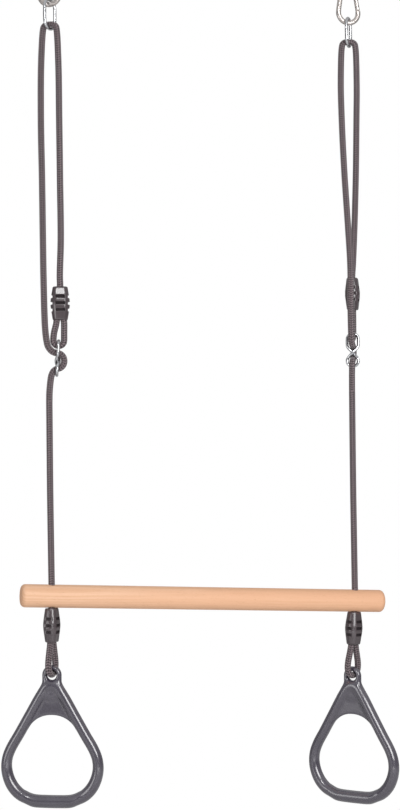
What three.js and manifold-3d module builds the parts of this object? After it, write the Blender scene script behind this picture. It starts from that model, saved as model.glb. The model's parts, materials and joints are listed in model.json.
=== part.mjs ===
// A short trapeze: a wooden bar on two ropes, each hung from a snap hook and an oval link, with a
// figure-8 length adjuster on each rope and a hand ring under each end of the bar.
// Units are millimetres and +Z is up. The origin is where the left hook hangs on its eye, so all but
// the top of the hooks lies below it. +X runs to the right hook and +Y points away from the front.

import * as THREE from "three";
import { mergeVertices } from "three/addons/utils/BufferGeometryUtils.js";
import Module from "manifold-3d";

const wasm = await Module();
wasm.setup();

// Driving dimensions

const ropeDiameter = 10;
const runningGap = 0.3;
const cutOverrun = 2;

const bar = { length: 580, diameter: 35, endRound: 7, holeInset: 47.5, bore: 12.5 };
const holeSpacing = bar.length - 2 * bar.holeInset;
const rightEndDrop = 19;
const barTilt = Math.asin(rightEndDrop / holeSpacing);
const hookSpacing = holeSpacing * Math.cos(barTilt);

const hook = {
  wire: 8,
  height: 80,
  wideRadius: 16.5,
  narrowRadius: 9,
  noseRise: 1.5,
  pinInset: 6,
  pinDiameter: 2.2,
  tongueWidth: 6.4,
  tongueThickness: 2.6,
  noseTongueLength: 5,
};
const gate = { diameter: 7, slotDepthAtNose: 6, slotClearance: 1, bore: 4.2, boreDepth: 13 };
const plunger = { diameter: 3.6, length: 4 };
const gateSpring = { outer: 3.6, inner: 2.4 };

const link = { wire: 5, height: 50, width: 30, seatGap: 0.7 };

const eight = {
  wire: 4.5,
  width: 22.5,
  aboveWaist: 33.3,
  belowWaist: 24.4,
  crossingReach: 10,
  out: 10.2,
  lean: 3,
};

const clamp = {
  length: 51,
  broad: 28.6,
  narrow: 23.6,
  endShare: 0.82,
  grooveWidth: 4.6,
  grooveDepth: 5,
  groovePitch: 10.2,
  windowWidth: 13.6,
  notchDepth: 2.5,
  strandOffset: 5.2,
  passageGap: 0.5,
  passageLength: 11,
};

const ring = {
  gripDiameter: 19.5,
  halfAcross: 70.6,
  eyeHeight: 200,
  eyeDiameter: 14.6,
  webThickness: 6,
  lugWidth: 30.2,
  lugDepth: 11,
  lugEdge: 2.7,
  lugEdgeDepth: 4.4,
  lugFootBelowEye: 22.5,
  seatGap: 1.4,
};

// Half of the hand ring's centre line, from the middle of the grip up to the middle of the top. Places
// are shares of the ring's half width and of its eye's height, and the width and depth of the section
// there are shares of the grip's diameter.
const ringOutlineShares = [
  [0, 0.049, 1, 1], [0.283, 0.053, 1, 1], [0.51, 0.068, 1, 1], [0.694, 0.098, 0.985, 1],
  [0.843, 0.148, 0.949, 1], [0.949, 0.216, 0.903, 0.985], [1, 0.296, 0.851, 0.964],
  [0.983, 0.371, 0.821, 0.944], [0.907, 0.442, 0.821, 0.923], [0.715, 0.557, 0.821, 0.923],
  [0.482, 0.7, 0.821, 0.923], [0.248, 0.843, 0.821, 0.923], [0.135, 0.901, 0.769, 0.821],
  [0, 0.923, 0.718, 0.769],
];

// The thin web between the ring's arms: its corners lie inside the arms, and its lower edge is the
// arched top of the hand opening. The shares are those of the outline.
const webShares = {
  apex: [0, 0.913],
  shoulder: [0.482, 0.7],
  foot: [0.652, 0.595],
  archFoot: [0.53, 0.595],
  archBend: [0.34, 0.7],
  archTop: [0, 0.7],
};

// Heights along each rope, below the eye that the hook hangs on, and turns about the vertical in
// degrees. A turn of 0 faces the piece along +X.
const leftSide = {
  name: "left",
  place: 0,
  hookTurn: -32,
  linkTurn: 43,
  strandTurn: -27,
  adjusterTurn: -9,
  waistHeight: -617.8,
  clampBottom: -555.2,
  barHeight: -975.2,
  loopTurn: 57,
  ringTurn: -22,
  lowerTilt: 0,
};
const rightSide = {
  name: "right",
  place: hookSpacing,
  hookTurn: 0,
  linkTurn: 56,
  strandTurn: -11,
  adjusterTurn: 63,
  waistHeight: -599.3,
  clampBottom: -529.9,
  barHeight: leftSide.barHeight - rightEndDrop,
  loopTurn: 33,
  ringTurn: -47,
  lowerTilt: barTilt,
};
const sides = [leftSide, rightSide];

// Places along the ropes, chosen by hand. The adjuster's stretches are flat: each place is how far out
// from the plumb line, and how far up. Those of the clamp are measured from the middle of the clamp's
// lower mouth, those of the eye and of the weave from the waist of the figure-8.
const clampCentre = 14.4;
const tailInClamp = [[-5.2, 17], [-5.2, 3], [-6, -5]];
const eyeOfRope = [
  [4.8, 42], [4, 31], [5.1, 27], [8, 24.2], [12, 23.1], [16, 24.2], [19, 27], [20.1, 31], [20.3, 42],
];
const liveInClamp = [[6, -5], [5.2, 3], [5.2, 20], [2.4, 29], [0, 38], [0, 54]];
const weave = [
  [-9.6, 72], [-8.6, 50], [-6.8, 33], [-4, 21.8], [2, 14.6], [8.6, 12], [14.6, 10.4], [18.7, 6.2],
  [20.3, 0], [18.7, -6.2], [14.6, -10.4], [8.6, -12.4], [4, -15.8], [0.9, -22], [-0.7, -31],
  [-2.2, -47], [-2.6, -62],
];

// The long strands between the clamp and the link, as places from the plumb line and heights.
const clampStrands = {
  left: [[13.8, -2.6, -487], [15.4, -3, -432], [14.4, -4, -340], [13.3, -5, -247], [12.2, -5.8, -160]],
  right: [[8.4, 13.8, -455], [11, 11.5, -390], [12.8, 8, -310], [13.2, 3.8, -230], [13.1, 0.2, -165]],
};
const mainStrands = {
  left: [[-12.7, 5.6, -160], [-13.5, 4.5, -247], [-12.2, 3.5, -340], [-11.3, 2.5, -432], [-10.7, 2, -487]],
  right: [
    [-13.9, 0, -165], [-13.7, -2.6, -230], [-11.4, -5.4, -310], [-7.6, -8, -390], [-4.4, -9, -455],
    [-4, -9, -490],
  ],
};
const archRadius = 11;
const archFlat = 1.2;

// The ropes of each side part just above the bar, where the lower end of the long one meets the short
// one. The short one's places are measured from the middle of the lower clamp's lower mouth.
const partingAboveBar = 1;
const ringRope = [
  [0, 51], [0, 38], [2.4, 29], [5.2, 20], [5.2, 3], [6.1, -4], [9.3, -16], [12.2, -27],
  [13, -35.8], [11.3, -42.3], [6.5, -47.1], [0, -48.8], [-6.5, -47.1], [-11.3, -42.3], [-13, -35.8],
  [-12.2, -27], [-9.3, -16], [-6.1, -4], [-5.2, 3], [-5.2, 17],
];

const ropeSides = 8;
const ropeStep = 2.5 * ropeDiameter;
const wireSides = 10;
const eightSides = 8;
const ringSides = 14;
const barrelSides = 20;
const roundSides = 32;
const holeSides = 24;
const smallSides = 16;
const tinySides = 12;

// Colours and finishes

const finish = (color, roughness, metalness) =>
  new THREE.MeshStandardMaterial({ color, roughness, metalness });
const ropeFinish = finish(0x6e6266, 0.85, 0);
const woodFinish = finish(0xf0be96, 0.55, 0);
const ringFinish = finish(0x5f5a64, 0.3, 0);
const clampFinish = finish(0x2a272c, 0.3, 0);
const chromeFinish = finish(0xdcdde0, 0.15, 1);
const nickelFinish = finish(0xc4bfb6, 0.25, 1);

const part = new THREE.Group();

// Shape helpers

const radians = THREE.MathUtils.degToRad;

function welded(geometry) {
  geometry.deleteAttribute("normal");
  geometry.deleteAttribute("uv");
  return mergeVertices(geometry);
}

function toSolid(geometry) {
  const merged = welded(geometry);
  const vertProperties = new Float32Array(merged.attributes.position.array);
  const triVerts = new Uint32Array(merged.index.array);
  return new wasm.Manifold(new wasm.Mesh({ numProp: 3, vertProperties, triVerts }));
}

function toGeometry(body) {
  const mesh = body.getMesh();
  const geometry = new THREE.BufferGeometry();
  geometry.setAttribute("position", new THREE.BufferAttribute(mesh.vertProperties, 3));
  geometry.setIndex(new THREE.BufferAttribute(mesh.triVerts, 1));
  return geometry;
}

function addPiece(parent, name, geometry, material) {
  const merged = welded(geometry);
  merged.computeVertexNormals();
  const mesh = new THREE.Mesh(merged, material);
  mesh.name = name;
  parent.add(mesh);
  return mesh;
}

function polygon(radius, count) {
  const points = [];
  for (let i = 0; i < count; i++) {
    const angle = (2 * Math.PI * i) / count;
    points.push(new THREE.Vector2(radius * Math.cos(angle), radius * Math.sin(angle)));
  }
  return new THREE.Shape(points);
}

// A cylinder along Z between two heights.
function rod(diameter, low, high, count = roundSides) {
  const geometry = new THREE.CylinderGeometry(diameter / 2, diameter / 2, high - low, count);
  geometry.rotateX(Math.PI / 2);
  geometry.translate(0, 0, (low + high) / 2);
  return geometry;
}

// A box between two corners.
function block(low, high) {
  const size = low.map((value, axis) => high[axis] - value);
  const geometry = new THREE.BoxGeometry(...size);
  return geometry.translate(...low.map((value, axis) => (value + high[axis]) / 2));
}

// A smooth line through chosen places. Steps fall on the places, and spans longer than one step are
// divided evenly.
class PlacedCurve extends THREE.CatmullRomCurve3 {
  constructor(places, longestStep = Infinity, closed = false) {
    super(places, closed);
    const spans = closed ? places.length : places.length - 1;
    this.stops = [];
    for (let i = 0; i < spans; i++) {
      const span = places[i].distanceTo(places[(i + 1) % places.length]);
      const parts = Math.max(1, Math.round(span / longestStep));
      for (let k = 0; k < parts; k++) this.stops.push((i + k / parts) / spans);
    }
    this.stops.push(1);
  }

  get steps() {
    return this.stops.length - 1;
  }

  getUtoTmapping(share) {
    return this.stops[Math.round(share * this.steps)];
  }
}

function tubeAlong(places, diameter, count, longestStep) {
  const path = new PlacedCurve(places, longestStep);
  const section = polygon(diameter / 2, count);
  return new THREE.ExtrudeGeometry(section, { steps: path.steps, extrudePath: path });
}

// A wire that closes on itself has no ends, so its tube needs no caps.
function closedWire(places, diameter, count) {
  const path = new PlacedCurve(places, Infinity, true);
  return new THREE.TubeGeometry(path, path.steps, diameter / 2, count, true);
}

// Places on an arc in the XZ plane, both ends included.
function arc(centreX, centreZ, radius, fromDegrees, toDegrees, steps) {
  const places = [];
  for (let i = 0; i <= steps; i++) {
    const angle = radians(fromDegrees + ((toDegrees - fromDegrees) * i) / steps);
    const x = centreX + radius * Math.cos(angle);
    places.push(new THREE.Vector3(x, 0, centreZ + radius * Math.sin(angle)));
  }
  return places;
}

// A flat outline in the XZ plane, given a thickness that is centred on Y.
function plate(shape, thickness, options = {}) {
  const edge = options.edgeDepth ?? 0;
  const geometry = new THREE.ExtrudeGeometry(shape, {
    depth: thickness - 2 * edge,
    curveSegments: options.curveSegments ?? 12,
    bevelEnabled: edge > 0,
    bevelThickness: edge,
    bevelSize: options.edgeSize ?? 0,
    bevelOffset: -(options.edgeSize ?? 0),
    bevelSegments: 3,
  });
  geometry.translate(0, 0, edge - thickness / 2);
  return geometry.rotateX(Math.PI / 2);
}

// Snap hook

const wireRadius = hook.wire / 2;
const narrowCentre = wireRadius - hook.narrowRadius;
const wideCentre = hook.wire - hook.height + wireRadius + hook.wideRadius;
const sideLean = Math.asin((hook.wideRadius - hook.narrowRadius) / (narrowCentre - wideCentre));
const sideLength = (narrowCentre - wideCentre) * Math.cos(sideLean);
const sideUp = new THREE.Vector3(-Math.sin(sideLean), 0, Math.cos(sideLean));
const sideTop = new THREE.Vector3(
  hook.narrowRadius * Math.cos(sideLean),
  0,
  narrowCentre + hook.narrowRadius * Math.sin(sideLean),
);
const gatePin = sideTop.clone().addScaledVector(sideUp, -hook.pinInset);
const earRadius = gate.diameter / 2;
const endClearance = 0.5;
const tongueGap = 0.4;
const slotWidth = hook.tongueThickness + 2 * tongueGap;
const hingeSlotDepth = hook.tongueWidth / 2 + gate.slotClearance;
const noseBelowPin = sideLength - hook.pinInset - hook.noseRise;
const gateLength = noseBelowPin - endClearance;

// The gate and what is in it lie in the gate's own frame: its origin on the pin, +Z up along the side.
function inGateFrame(geometry) {
  geometry.rotateY(-sideLean);
  return geometry.translate(gatePin.x, gatePin.y, gatePin.z);
}

function hookBody() {
  const lean = THREE.MathUtils.radToDeg(sideLean);
  const hingeEnd = gatePin.clone().addScaledVector(sideUp, earRadius + endClearance);
  const narrow = arc(0, narrowCentre, hook.narrowRadius, lean, 180 - lean, 8);
  const wide = arc(0, wideCentre, hook.wideRadius, 180 - lean, 360 + lean, 12);
  const nose = wide[wide.length - 1].clone().addScaledVector(sideUp, hook.noseRise);
  const wire = toSolid(tubeAlong([hingeEnd, ...narrow, ...wide, nose], hook.wire, wireSides));

  const half = hook.tongueWidth / 2;
  const thick = hook.tongueThickness / 2;
  const root = earRadius + endClearance + wireRadius / 2;
  const hingeTongue = toSolid(inGateFrame(block([-half, -thick, 0], [half, thick, root])));
  const round = rod(hook.tongueWidth, -thick, thick).rotateX(Math.PI / 2);
  const pinBore = hook.pinDiameter + 2 * runningGap;
  const pinHole = rod(pinBore, -wireRadius, wireRadius, smallSides).rotateX(Math.PI / 2);
  const noseLow = -noseBelowPin - wireRadius / 2;
  const noseHigh = hook.noseTongueLength - noseBelowPin;
  const noseTongue = toSolid(inGateFrame(block([-half, -thick, noseLow], [half, thick, noseHigh])));
  return toGeometry(
    wire
      .add(hingeTongue)
      .add(toSolid(inGateFrame(round)))
      .add(noseTongue)
      .subtract(toSolid(inGateFrame(pinHole))),
  );
}

function hookGate() {
  const full = toSolid(rod(gate.diameter, -gateLength, earRadius, smallSides));
  const below = toSolid(block([-earRadius, -earRadius, -gateLength], [earRadius, earRadius, 0]));
  const ears = toSolid(rod(gate.diameter, -earRadius, earRadius, holeSides).rotateX(Math.PI / 2));
  const wide = gate.diameter;
  const thick = slotWidth / 2;
  const hingeSlot = toSolid(block([-wide, -thick, -hingeSlotDepth], [wide, thick, wide]));
  const noseTop = gate.slotDepthAtNose - gateLength;
  const noseSlot = toSolid(block([-wide, -thick, -gateLength - cutOverrun], [wide, thick, noseTop]));
  const boreBottom = -hingeSlotDepth - gate.boreDepth;
  const bore = toSolid(rod(gate.bore, boreBottom, 0, smallSides));
  const pinHole = rod(hook.pinDiameter + 2 * runningGap, -wide, wide, smallSides).rotateX(Math.PI / 2);
  const cut = hingeSlot.add(noseSlot).add(bore).add(toSolid(pinHole));
  const body = full.intersect(below.add(ears)).subtract(cut);
  return inGateFrame(toGeometry(body));
}

function gatePinSolid() {
  return inGateFrame(rod(hook.pinDiameter, -earRadius, earRadius, tinySides).rotateX(Math.PI / 2));
}

const plungerTop = -hook.tongueWidth / 2 - runningGap;
const plungerBottom = plungerTop - plunger.length;

function gatePlunger() {
  return inGateFrame(rod(plunger.diameter, plungerBottom, plungerTop, tinySides));
}

function gateSpringSolid() {
  const low = -hingeSlotDepth - gate.boreDepth + runningGap;
  const high = plungerBottom - runningGap;
  const outer = toSolid(rod(gateSpring.outer, low, high, tinySides));
  const inner = toSolid(rod(gateSpring.inner, low - cutOverrun, high + cutOverrun, tinySides));
  return inGateFrame(toGeometry(outer.subtract(inner)));
}

// Oval link

const linkSeat = hook.wire - hook.height + hook.wire + link.seatGap;
const linkTopCentre = linkSeat + link.wire / 2;
const linkBottom = linkTopCentre - (link.height - link.wire);

function ovalLink() {
  const radius = (link.width - link.wire) / 2;
  const upper = arc(0, linkTopCentre - radius, radius, 0, 180, 10);
  const lower = arc(0, linkBottom + radius, radius, 180, 360, 10);
  return closedWire([...upper, ...lower], link.wire, wireSides);
}

// Figure-8 adjuster: one wire bent into two loops that cross at the waist, one strand of the crossing
// in front of the other. It faces along X, and its places are measured from the waist.
function figureEight() {
  const radius = (eight.width - eight.wire) / 2;
  const top = eight.aboveWaist - eight.wire / 2 - radius;
  const middle = eight.belowWaist - eight.wire / 2 - radius;
  const slant = THREE.MathUtils.radToDeg(Math.asin(radius / middle));
  const tangent = middle * Math.cos(radians(slant)) ** 2;
  const reach = eight.crossingReach;
  const half = Math.tan(radians(slant)) * (tangent / 2);
  const firstHalf = [
    ...arc(0, top, radius, 90, 0, 5),
    ...arc(0, middle, radius, 0, -slant, 3),
    new THREE.Vector3(half, 0, tangent / 2),
    new THREE.Vector3(0, 0, 0),
    new THREE.Vector3(-half, 0, -tangent / 2),
    ...arc(0, -middle, radius, 180 - slant, 270, 7),
  ];
  const depth = (eight.wire + runningGap) / 2;
  const offset = (z) => depth * Math.cos((Math.PI / 2) * Math.min(1, Math.abs(z) / reach)) ** 2;
  const front = firstHalf.map((p) => new THREE.Vector3(-offset(p.z), -p.x, p.z));
  const rear = firstHalf.slice(1, -1).map((p) => new THREE.Vector3(offset(p.z), p.x, p.z));
  return closedWire([...front, ...rear.reverse()], eight.wire, eightSides);
}

// Rope clamp: an oval barrel in two half shells, with one strand through its upper mouth and two side
// by side through its lower one. The origin is the middle of the lower mouth.
const barrelProfileShares = [
  [0, 0], [0.94, 0], [1, 0.04], [1.09, 0.17], [1.19, 0.31], [1.25, 0.42], [1.266, 0.5],
];

function clampBarrel() {
  const lower = barrelProfileShares.map(
    ([across, up]) => new THREE.Vector2(across * clamp.endShare, up * clamp.length),
  );
  const upper = lower
    .slice(0, -1)
    .reverse()
    .map((p) => new THREE.Vector2(p.x, clamp.length - p.y));
  const geometry = new THREE.LatheGeometry([...lower, ...upper], barrelSides);
  geometry.rotateX(Math.PI / 2);
  return geometry.scale(clamp.broad / 2, clamp.narrow / 2, 1);
}

function clampShell(front) {
  const passage = ropeDiameter + 2 * clamp.passageGap;
  const shift = clamp.strandOffset;
  const split = clamp.length - clamp.passageLength;
  const far = clamp.broad;
  const windowHalf = clamp.windowWidth / 2;
  const inner = clamp.narrow / 2 - clamp.grooveDepth;
  const side = clamp.broad / 2 - clamp.notchDepth;
  const single = toSolid(rod(passage, split - cutOverrun, clamp.length + cutOverrun, smallSides));
  const strand = () => rod(passage, -cutOverrun, split, smallSides);
  const leftStrand = toSolid(strand().translate(-shift, 0, 0));
  const rightStrand = toSolid(strand().translate(shift, 0, 0));
  const between = block([-shift, -passage / 2, -cutOverrun], [shift, passage / 2, split]);
  let cut = single.add(leftStrand).add(rightStrand).add(toSolid(between));
  // Three slots above one another in the front, in the rear and in each side, with plain spines between.
  for (const step of [-1, 0, 1]) {
    const middle = clamp.length / 2 + step * clamp.groovePitch;
    const low = middle - clamp.grooveWidth / 2;
    const high = middle + clamp.grooveWidth / 2;
    cut = cut.add(toSolid(block([-windowHalf, inner, low], [windowHalf, far, high])));
    cut = cut.add(toSolid(block([-windowHalf, -far, low], [windowHalf, -inner, high])));
    cut = cut.add(toSolid(block([side, -far, low], [far, far, high])));
    cut = cut.add(toSolid(block([-far, -far, low], [-side, far, high])));
  }
  const edge = runningGap / 2;
  const keep = front
    ? block([-far, -far, -cutOverrun], [far, -edge, clamp.length + cutOverrun])
    : block([-far, edge, -cutOverrun], [far, far, clamp.length + cutOverrun]);
  return toGeometry(toSolid(clampBarrel()).intersect(toSolid(keep)).subtract(cut));
}

// Wooden bar, lying along X, with a hole across it near each end

function woodenBar() {
  const half = bar.length / 2;
  const radius = bar.diameter / 2;
  const profile = [new THREE.Vector2(0, -half)];
  for (const end of [-1, 1]) {
    for (let i = 0; i <= 4; i++) {
      const angle = (Math.PI / 2) * (end < 0 ? i / 4 : 1 - i / 4);
      const across = radius - bar.endRound + bar.endRound * Math.sin(angle);
      profile.push(new THREE.Vector2(across, end * (half - bar.endRound + bar.endRound * Math.cos(angle))));
    }
  }
  profile.push(new THREE.Vector2(0, half));
  let body = toSolid(new THREE.LatheGeometry(profile, roundSides).rotateZ(-Math.PI / 2));
  for (const end of [-1, 1]) {
    const hole = rod(bar.bore, -bar.diameter, bar.diameter, holeSides);
    hole.translate((end * holeSpacing) / 2, 0, 0);
    body = body.subtract(toSolid(hole));
  }
  return toGeometry(body);
}

// Hand ring, standing in the XZ plane with the bottom of the grip at the origin

const ringPlace = ([across, up]) => [across * ring.halfAcross, up * ring.eyeHeight];

function ringBead() {
  const half = ringOutlineShares.map(([across, up, wide, deep]) => [
    ...ringPlace([across, up]),
    wide * ring.gripDiameter,
    deep * ring.gripDiameter,
  ]);
  const mirrored = half
    .slice(1, -1)
    .reverse()
    .map(([x, z, wide, deep]) => [-x, z, wide, deep]);
  const stations = [...half, ...mirrored];
  const path = new PlacedCurve(
    stations.map(([x, z]) => new THREE.Vector3(x, 0, z)),
    Infinity,
    true,
  );
  const count = ringSides;
  const positions = [];
  const index = [];
  stations.forEach(([x, z, wide, deep], i) => {
    const along = path.getTangent(i / stations.length);
    for (let k = 0; k < count; k++) {
      const angle = (2 * Math.PI * k) / count;
      const across = (wide / 2) * Math.cos(angle);
      positions.push(x + along.z * across, (deep / 2) * Math.sin(angle), z - along.x * across);
    }
  });
  for (let i = 0; i < stations.length; i++) {
    const next = (i + 1) % stations.length;
    for (let k = 0; k < count; k++) {
      const turn = (k + 1) % count;
      const [a, b] = [i * count + k, i * count + turn];
      const [c, d] = [next * count + k, next * count + turn];
      index.push(a, b, c, b, d, c);
    }
  }
  const geometry = new THREE.BufferGeometry();
  geometry.setAttribute("position", new THREE.Float32BufferAttribute(positions, 3));
  geometry.setIndex(index);
  return geometry;
}

function handRing() {
  const half = ring.lugWidth / 2;
  const lug = new THREE.Shape();
  lug.absarc(0, ring.eyeHeight, half, 0, Math.PI, false);
  lug.lineTo(-half, ring.eyeHeight - ring.lugFootBelowEye);
  lug.lineTo(half, ring.eyeHeight - ring.lugFootBelowEye);
  lug.closePath();
  const eye = new THREE.Path();
  eye.absarc(0, ring.eyeHeight, ring.eyeDiameter / 2, 0, 2 * Math.PI, true);
  lug.holes.push(eye);
  const lugPlate = plate(lug, ring.lugDepth, { edgeDepth: ring.lugEdgeDepth, edgeSize: ring.lugEdge });
  const mirroredPlace = ([x, z]) => [-x, z];
  const apex = ringPlace(webShares.apex);
  const shoulder = ringPlace(webShares.shoulder);
  const foot = ringPlace(webShares.foot);
  const archFoot = ringPlace(webShares.archFoot);
  const archBend = ringPlace(webShares.archBend);
  const archTop = ringPlace(webShares.archTop);
  const panel = new THREE.Shape();
  panel.moveTo(...apex);
  panel.lineTo(...mirroredPlace(shoulder));
  panel.lineTo(...mirroredPlace(foot));
  panel.lineTo(...mirroredPlace(archFoot));
  panel.quadraticCurveTo(...mirroredPlace(archBend), ...archTop);
  panel.quadraticCurveTo(...archBend, ...archFoot);
  panel.lineTo(...foot);
  panel.lineTo(...shoulder);
  panel.closePath();
  const webPlate = plate(panel, ring.webThickness, { curveSegments: 5 });
  const deep = ring.gripDiameter;
  const through = rod(ring.eyeDiameter, -deep, deep, holeSides).rotateX(Math.PI / 2);
  through.translate(0, 0, ring.eyeHeight);
  const bead = toSolid(ringBead()).subtract(toSolid(through));
  return toGeometry(bead.add(toSolid(lugPlate)).add(toSolid(webPlate)));
}

// Ropes

// A flat stretch of rope turned about the plumb line.
function turned(flat, turnDegrees, out, up) {
  const angle = radians(turnDegrees);
  return flat.map(
    ([x, z]) => new THREE.Vector3((x + out) * Math.cos(angle), (x + out) * Math.sin(angle), z + up),
  );
}

// The bend over the link's lower wire, a half circle that is a little flattened at its crown.
function archOverLink(turnDegrees) {
  const crown = linkBottom + (link.wire + ropeDiameter) / 2 + runningGap;
  const flat = arc(0, 0, archRadius, 0, 180, 6).map((p) => [p.x, p.z - archFlat * (p.z / archRadius) ** 6]);
  return turned(flat, turnDegrees, 0, crown - archRadius + archFlat);
}

const fromList = (list) => list.map(([x, y, z]) => new THREE.Vector3(x, y, z));

function upperRopePlaces(side) {
  return [
    ...turned(tailInClamp, side.adjusterTurn, clampCentre, side.clampBottom),
    ...turned(eyeOfRope, side.adjusterTurn, 0, side.waistHeight),
    ...turned(liveInClamp, side.adjusterTurn, clampCentre, side.clampBottom),
    ...fromList(clampStrands[side.name]),
    ...archOverLink(side.strandTurn),
    ...fromList(mainStrands[side.name]),
    ...turned(weave, side.adjusterTurn, 0, side.waistHeight),
  ];
}

function upperRope(side) {
  return tubeAlong(upperRopePlaces(side), ropeDiameter, ropeSides, ropeStep);
}

function lowerRope(side) {
  const places = upperRopePlaces(side);
  const top = places[places.length - 1].clone();
  top.z -= runningGap;
  const rise = bar.diameter / 2 + partingAboveBar + runningGap;
  const bottom = new THREE.Vector3(
    rise * Math.sin(side.lowerTilt),
    0,
    side.barHeight + rise * Math.cos(side.lowerTilt),
  );
  const middle = new THREE.Vector3((2 * top.x) / 3, (2 * top.y) / 3, (top.z + bottom.z) / 2);
  return tubeAlong([top, middle, bottom], ropeDiameter, ropeSides, ropeStep);
}

// Assembly

const barGroup = new THREE.Group();
barGroup.position.set(hookSpacing / 2, 0, (sides[0].barHeight + sides[1].barHeight) / 2);
barGroup.rotation.y = barTilt;
part.add(barGroup);
addPiece(barGroup, "bar", woodenBar(), woodFinish);

for (const side of sides) {
  const group = new THREE.Group();
  group.position.x = side.place;
  part.add(group);

  const hookGroup = new THREE.Group();
  hookGroup.rotation.z = radians(side.hookTurn);
  group.add(hookGroup);
  addPiece(hookGroup, `carabiner_body_${side.name}`, hookBody(), nickelFinish);
  addPiece(hookGroup, `carabiner_gate_${side.name}`, hookGate(), nickelFinish);
  addPiece(hookGroup, `gate_pin_${side.name}`, gatePinSolid(), chromeFinish);
  addPiece(hookGroup, `gate_spring_${side.name}`, gateSpringSolid(), chromeFinish);
  addPiece(hookGroup, `gate_plunger_${side.name}`, gatePlunger(), chromeFinish);

  const linkMesh = addPiece(group, `oval_link_${side.name}`, ovalLink(), chromeFinish);
  linkMesh.rotation.z = radians(side.linkTurn);

  addPiece(group, `rope_upper_${side.name}`, upperRope(side), ropeFinish);
  addPiece(group, `rope_lower_${side.name}`, lowerRope(side), ropeFinish);

  const eightGroup = new THREE.Group();
  eightGroup.rotation.z = radians(side.adjusterTurn);
  eightGroup.position.z = side.waistHeight;
  group.add(eightGroup);
  const eightMesh = addPiece(eightGroup, `adjuster_eight_${side.name}`, figureEight(), chromeFinish);
  eightMesh.position.x = eight.out;
  eightMesh.rotation.y = radians(eight.lean);

  const clampGroup = new THREE.Group();
  clampGroup.rotation.z = radians(side.adjusterTurn);
  clampGroup.position.set(
    clampCentre * Math.cos(radians(side.adjusterTurn)),
    clampCentre * Math.sin(radians(side.adjusterTurn)),
    side.clampBottom,
  );
  group.add(clampGroup);
  addPiece(clampGroup, `upper_clamp_front_${side.name}`, clampShell(true), clampFinish);
  addPiece(clampGroup, `upper_clamp_rear_${side.name}`, clampShell(false), clampFinish);

  // What hangs under the bar leans with the side's lower tilt.
  const lowerGroup = new THREE.Group();
  lowerGroup.position.z = side.barHeight;
  lowerGroup.rotation.y = side.lowerTilt;
  group.add(lowerGroup);
  const mouth = new THREE.Group();
  const seatGap = runningGap + (clamp.broad / 2) * clamp.endShare * Math.sin(barTilt - side.lowerTilt);
  mouth.position.z = -(bar.diameter / 2 + seatGap + clamp.length);
  mouth.rotation.z = radians(side.loopTurn);
  lowerGroup.add(mouth);
  addPiece(mouth, `lower_clamp_front_${side.name}`, clampShell(true), clampFinish);
  addPiece(mouth, `lower_clamp_rear_${side.name}`, clampShell(false), clampFinish);
  const upperEnd = [0, bar.diameter / 2 + partingAboveBar - mouth.position.z];
  const loop = tubeAlong(turned([upperEnd, ...ringRope], 0, 0, 0), ropeDiameter, ropeSides, ropeStep);
  addPiece(mouth, `ring_rope_${side.name}`, loop, ropeFinish);

  const lowest = Math.min(...ringRope.map(([, z]) => z));
  const hang = -mouth.position.z - lowest;
  const eyeTop = ring.eyeHeight + ring.eyeDiameter / 2;
  const ringMesh = addPiece(group, `gym_ring_${side.name}`, handRing(), ringFinish);
  ringMesh.position.set(
    -hang * Math.sin(side.lowerTilt),
    0,
    side.barHeight - hang * Math.cos(side.lowerTilt) + ropeDiameter / 2 + ring.seatGap - eyeTop,
  );
  ringMesh.rotation.z = radians(side.ringTurn);
}

export default part;
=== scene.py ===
# %% [markdown]
# # A trapeze bar with two hand rings
# A short wooden bar hangs on two black ropes. Each rope has a snap hook and an oval link at its top, a
# figure-8 that sets its length, two plastic clamps, and a hand ring below the bar.
# The packed CAD model is the frame. This script stands the camera where the photograph was taken from,
# replaces the plain solids with finer ones built from the same driving sizes, gives every surface a
# procedural material, and lights the whole for a plain white studio picture.
# Lengths are metres. The origin is where the left hook hangs, +Z is up and +Y points away.

# %% Load the frame
import json
import math
from types import SimpleNamespace as Sizes

import bpy
import numpy as np
from mathutils import Matrix, Vector


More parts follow.
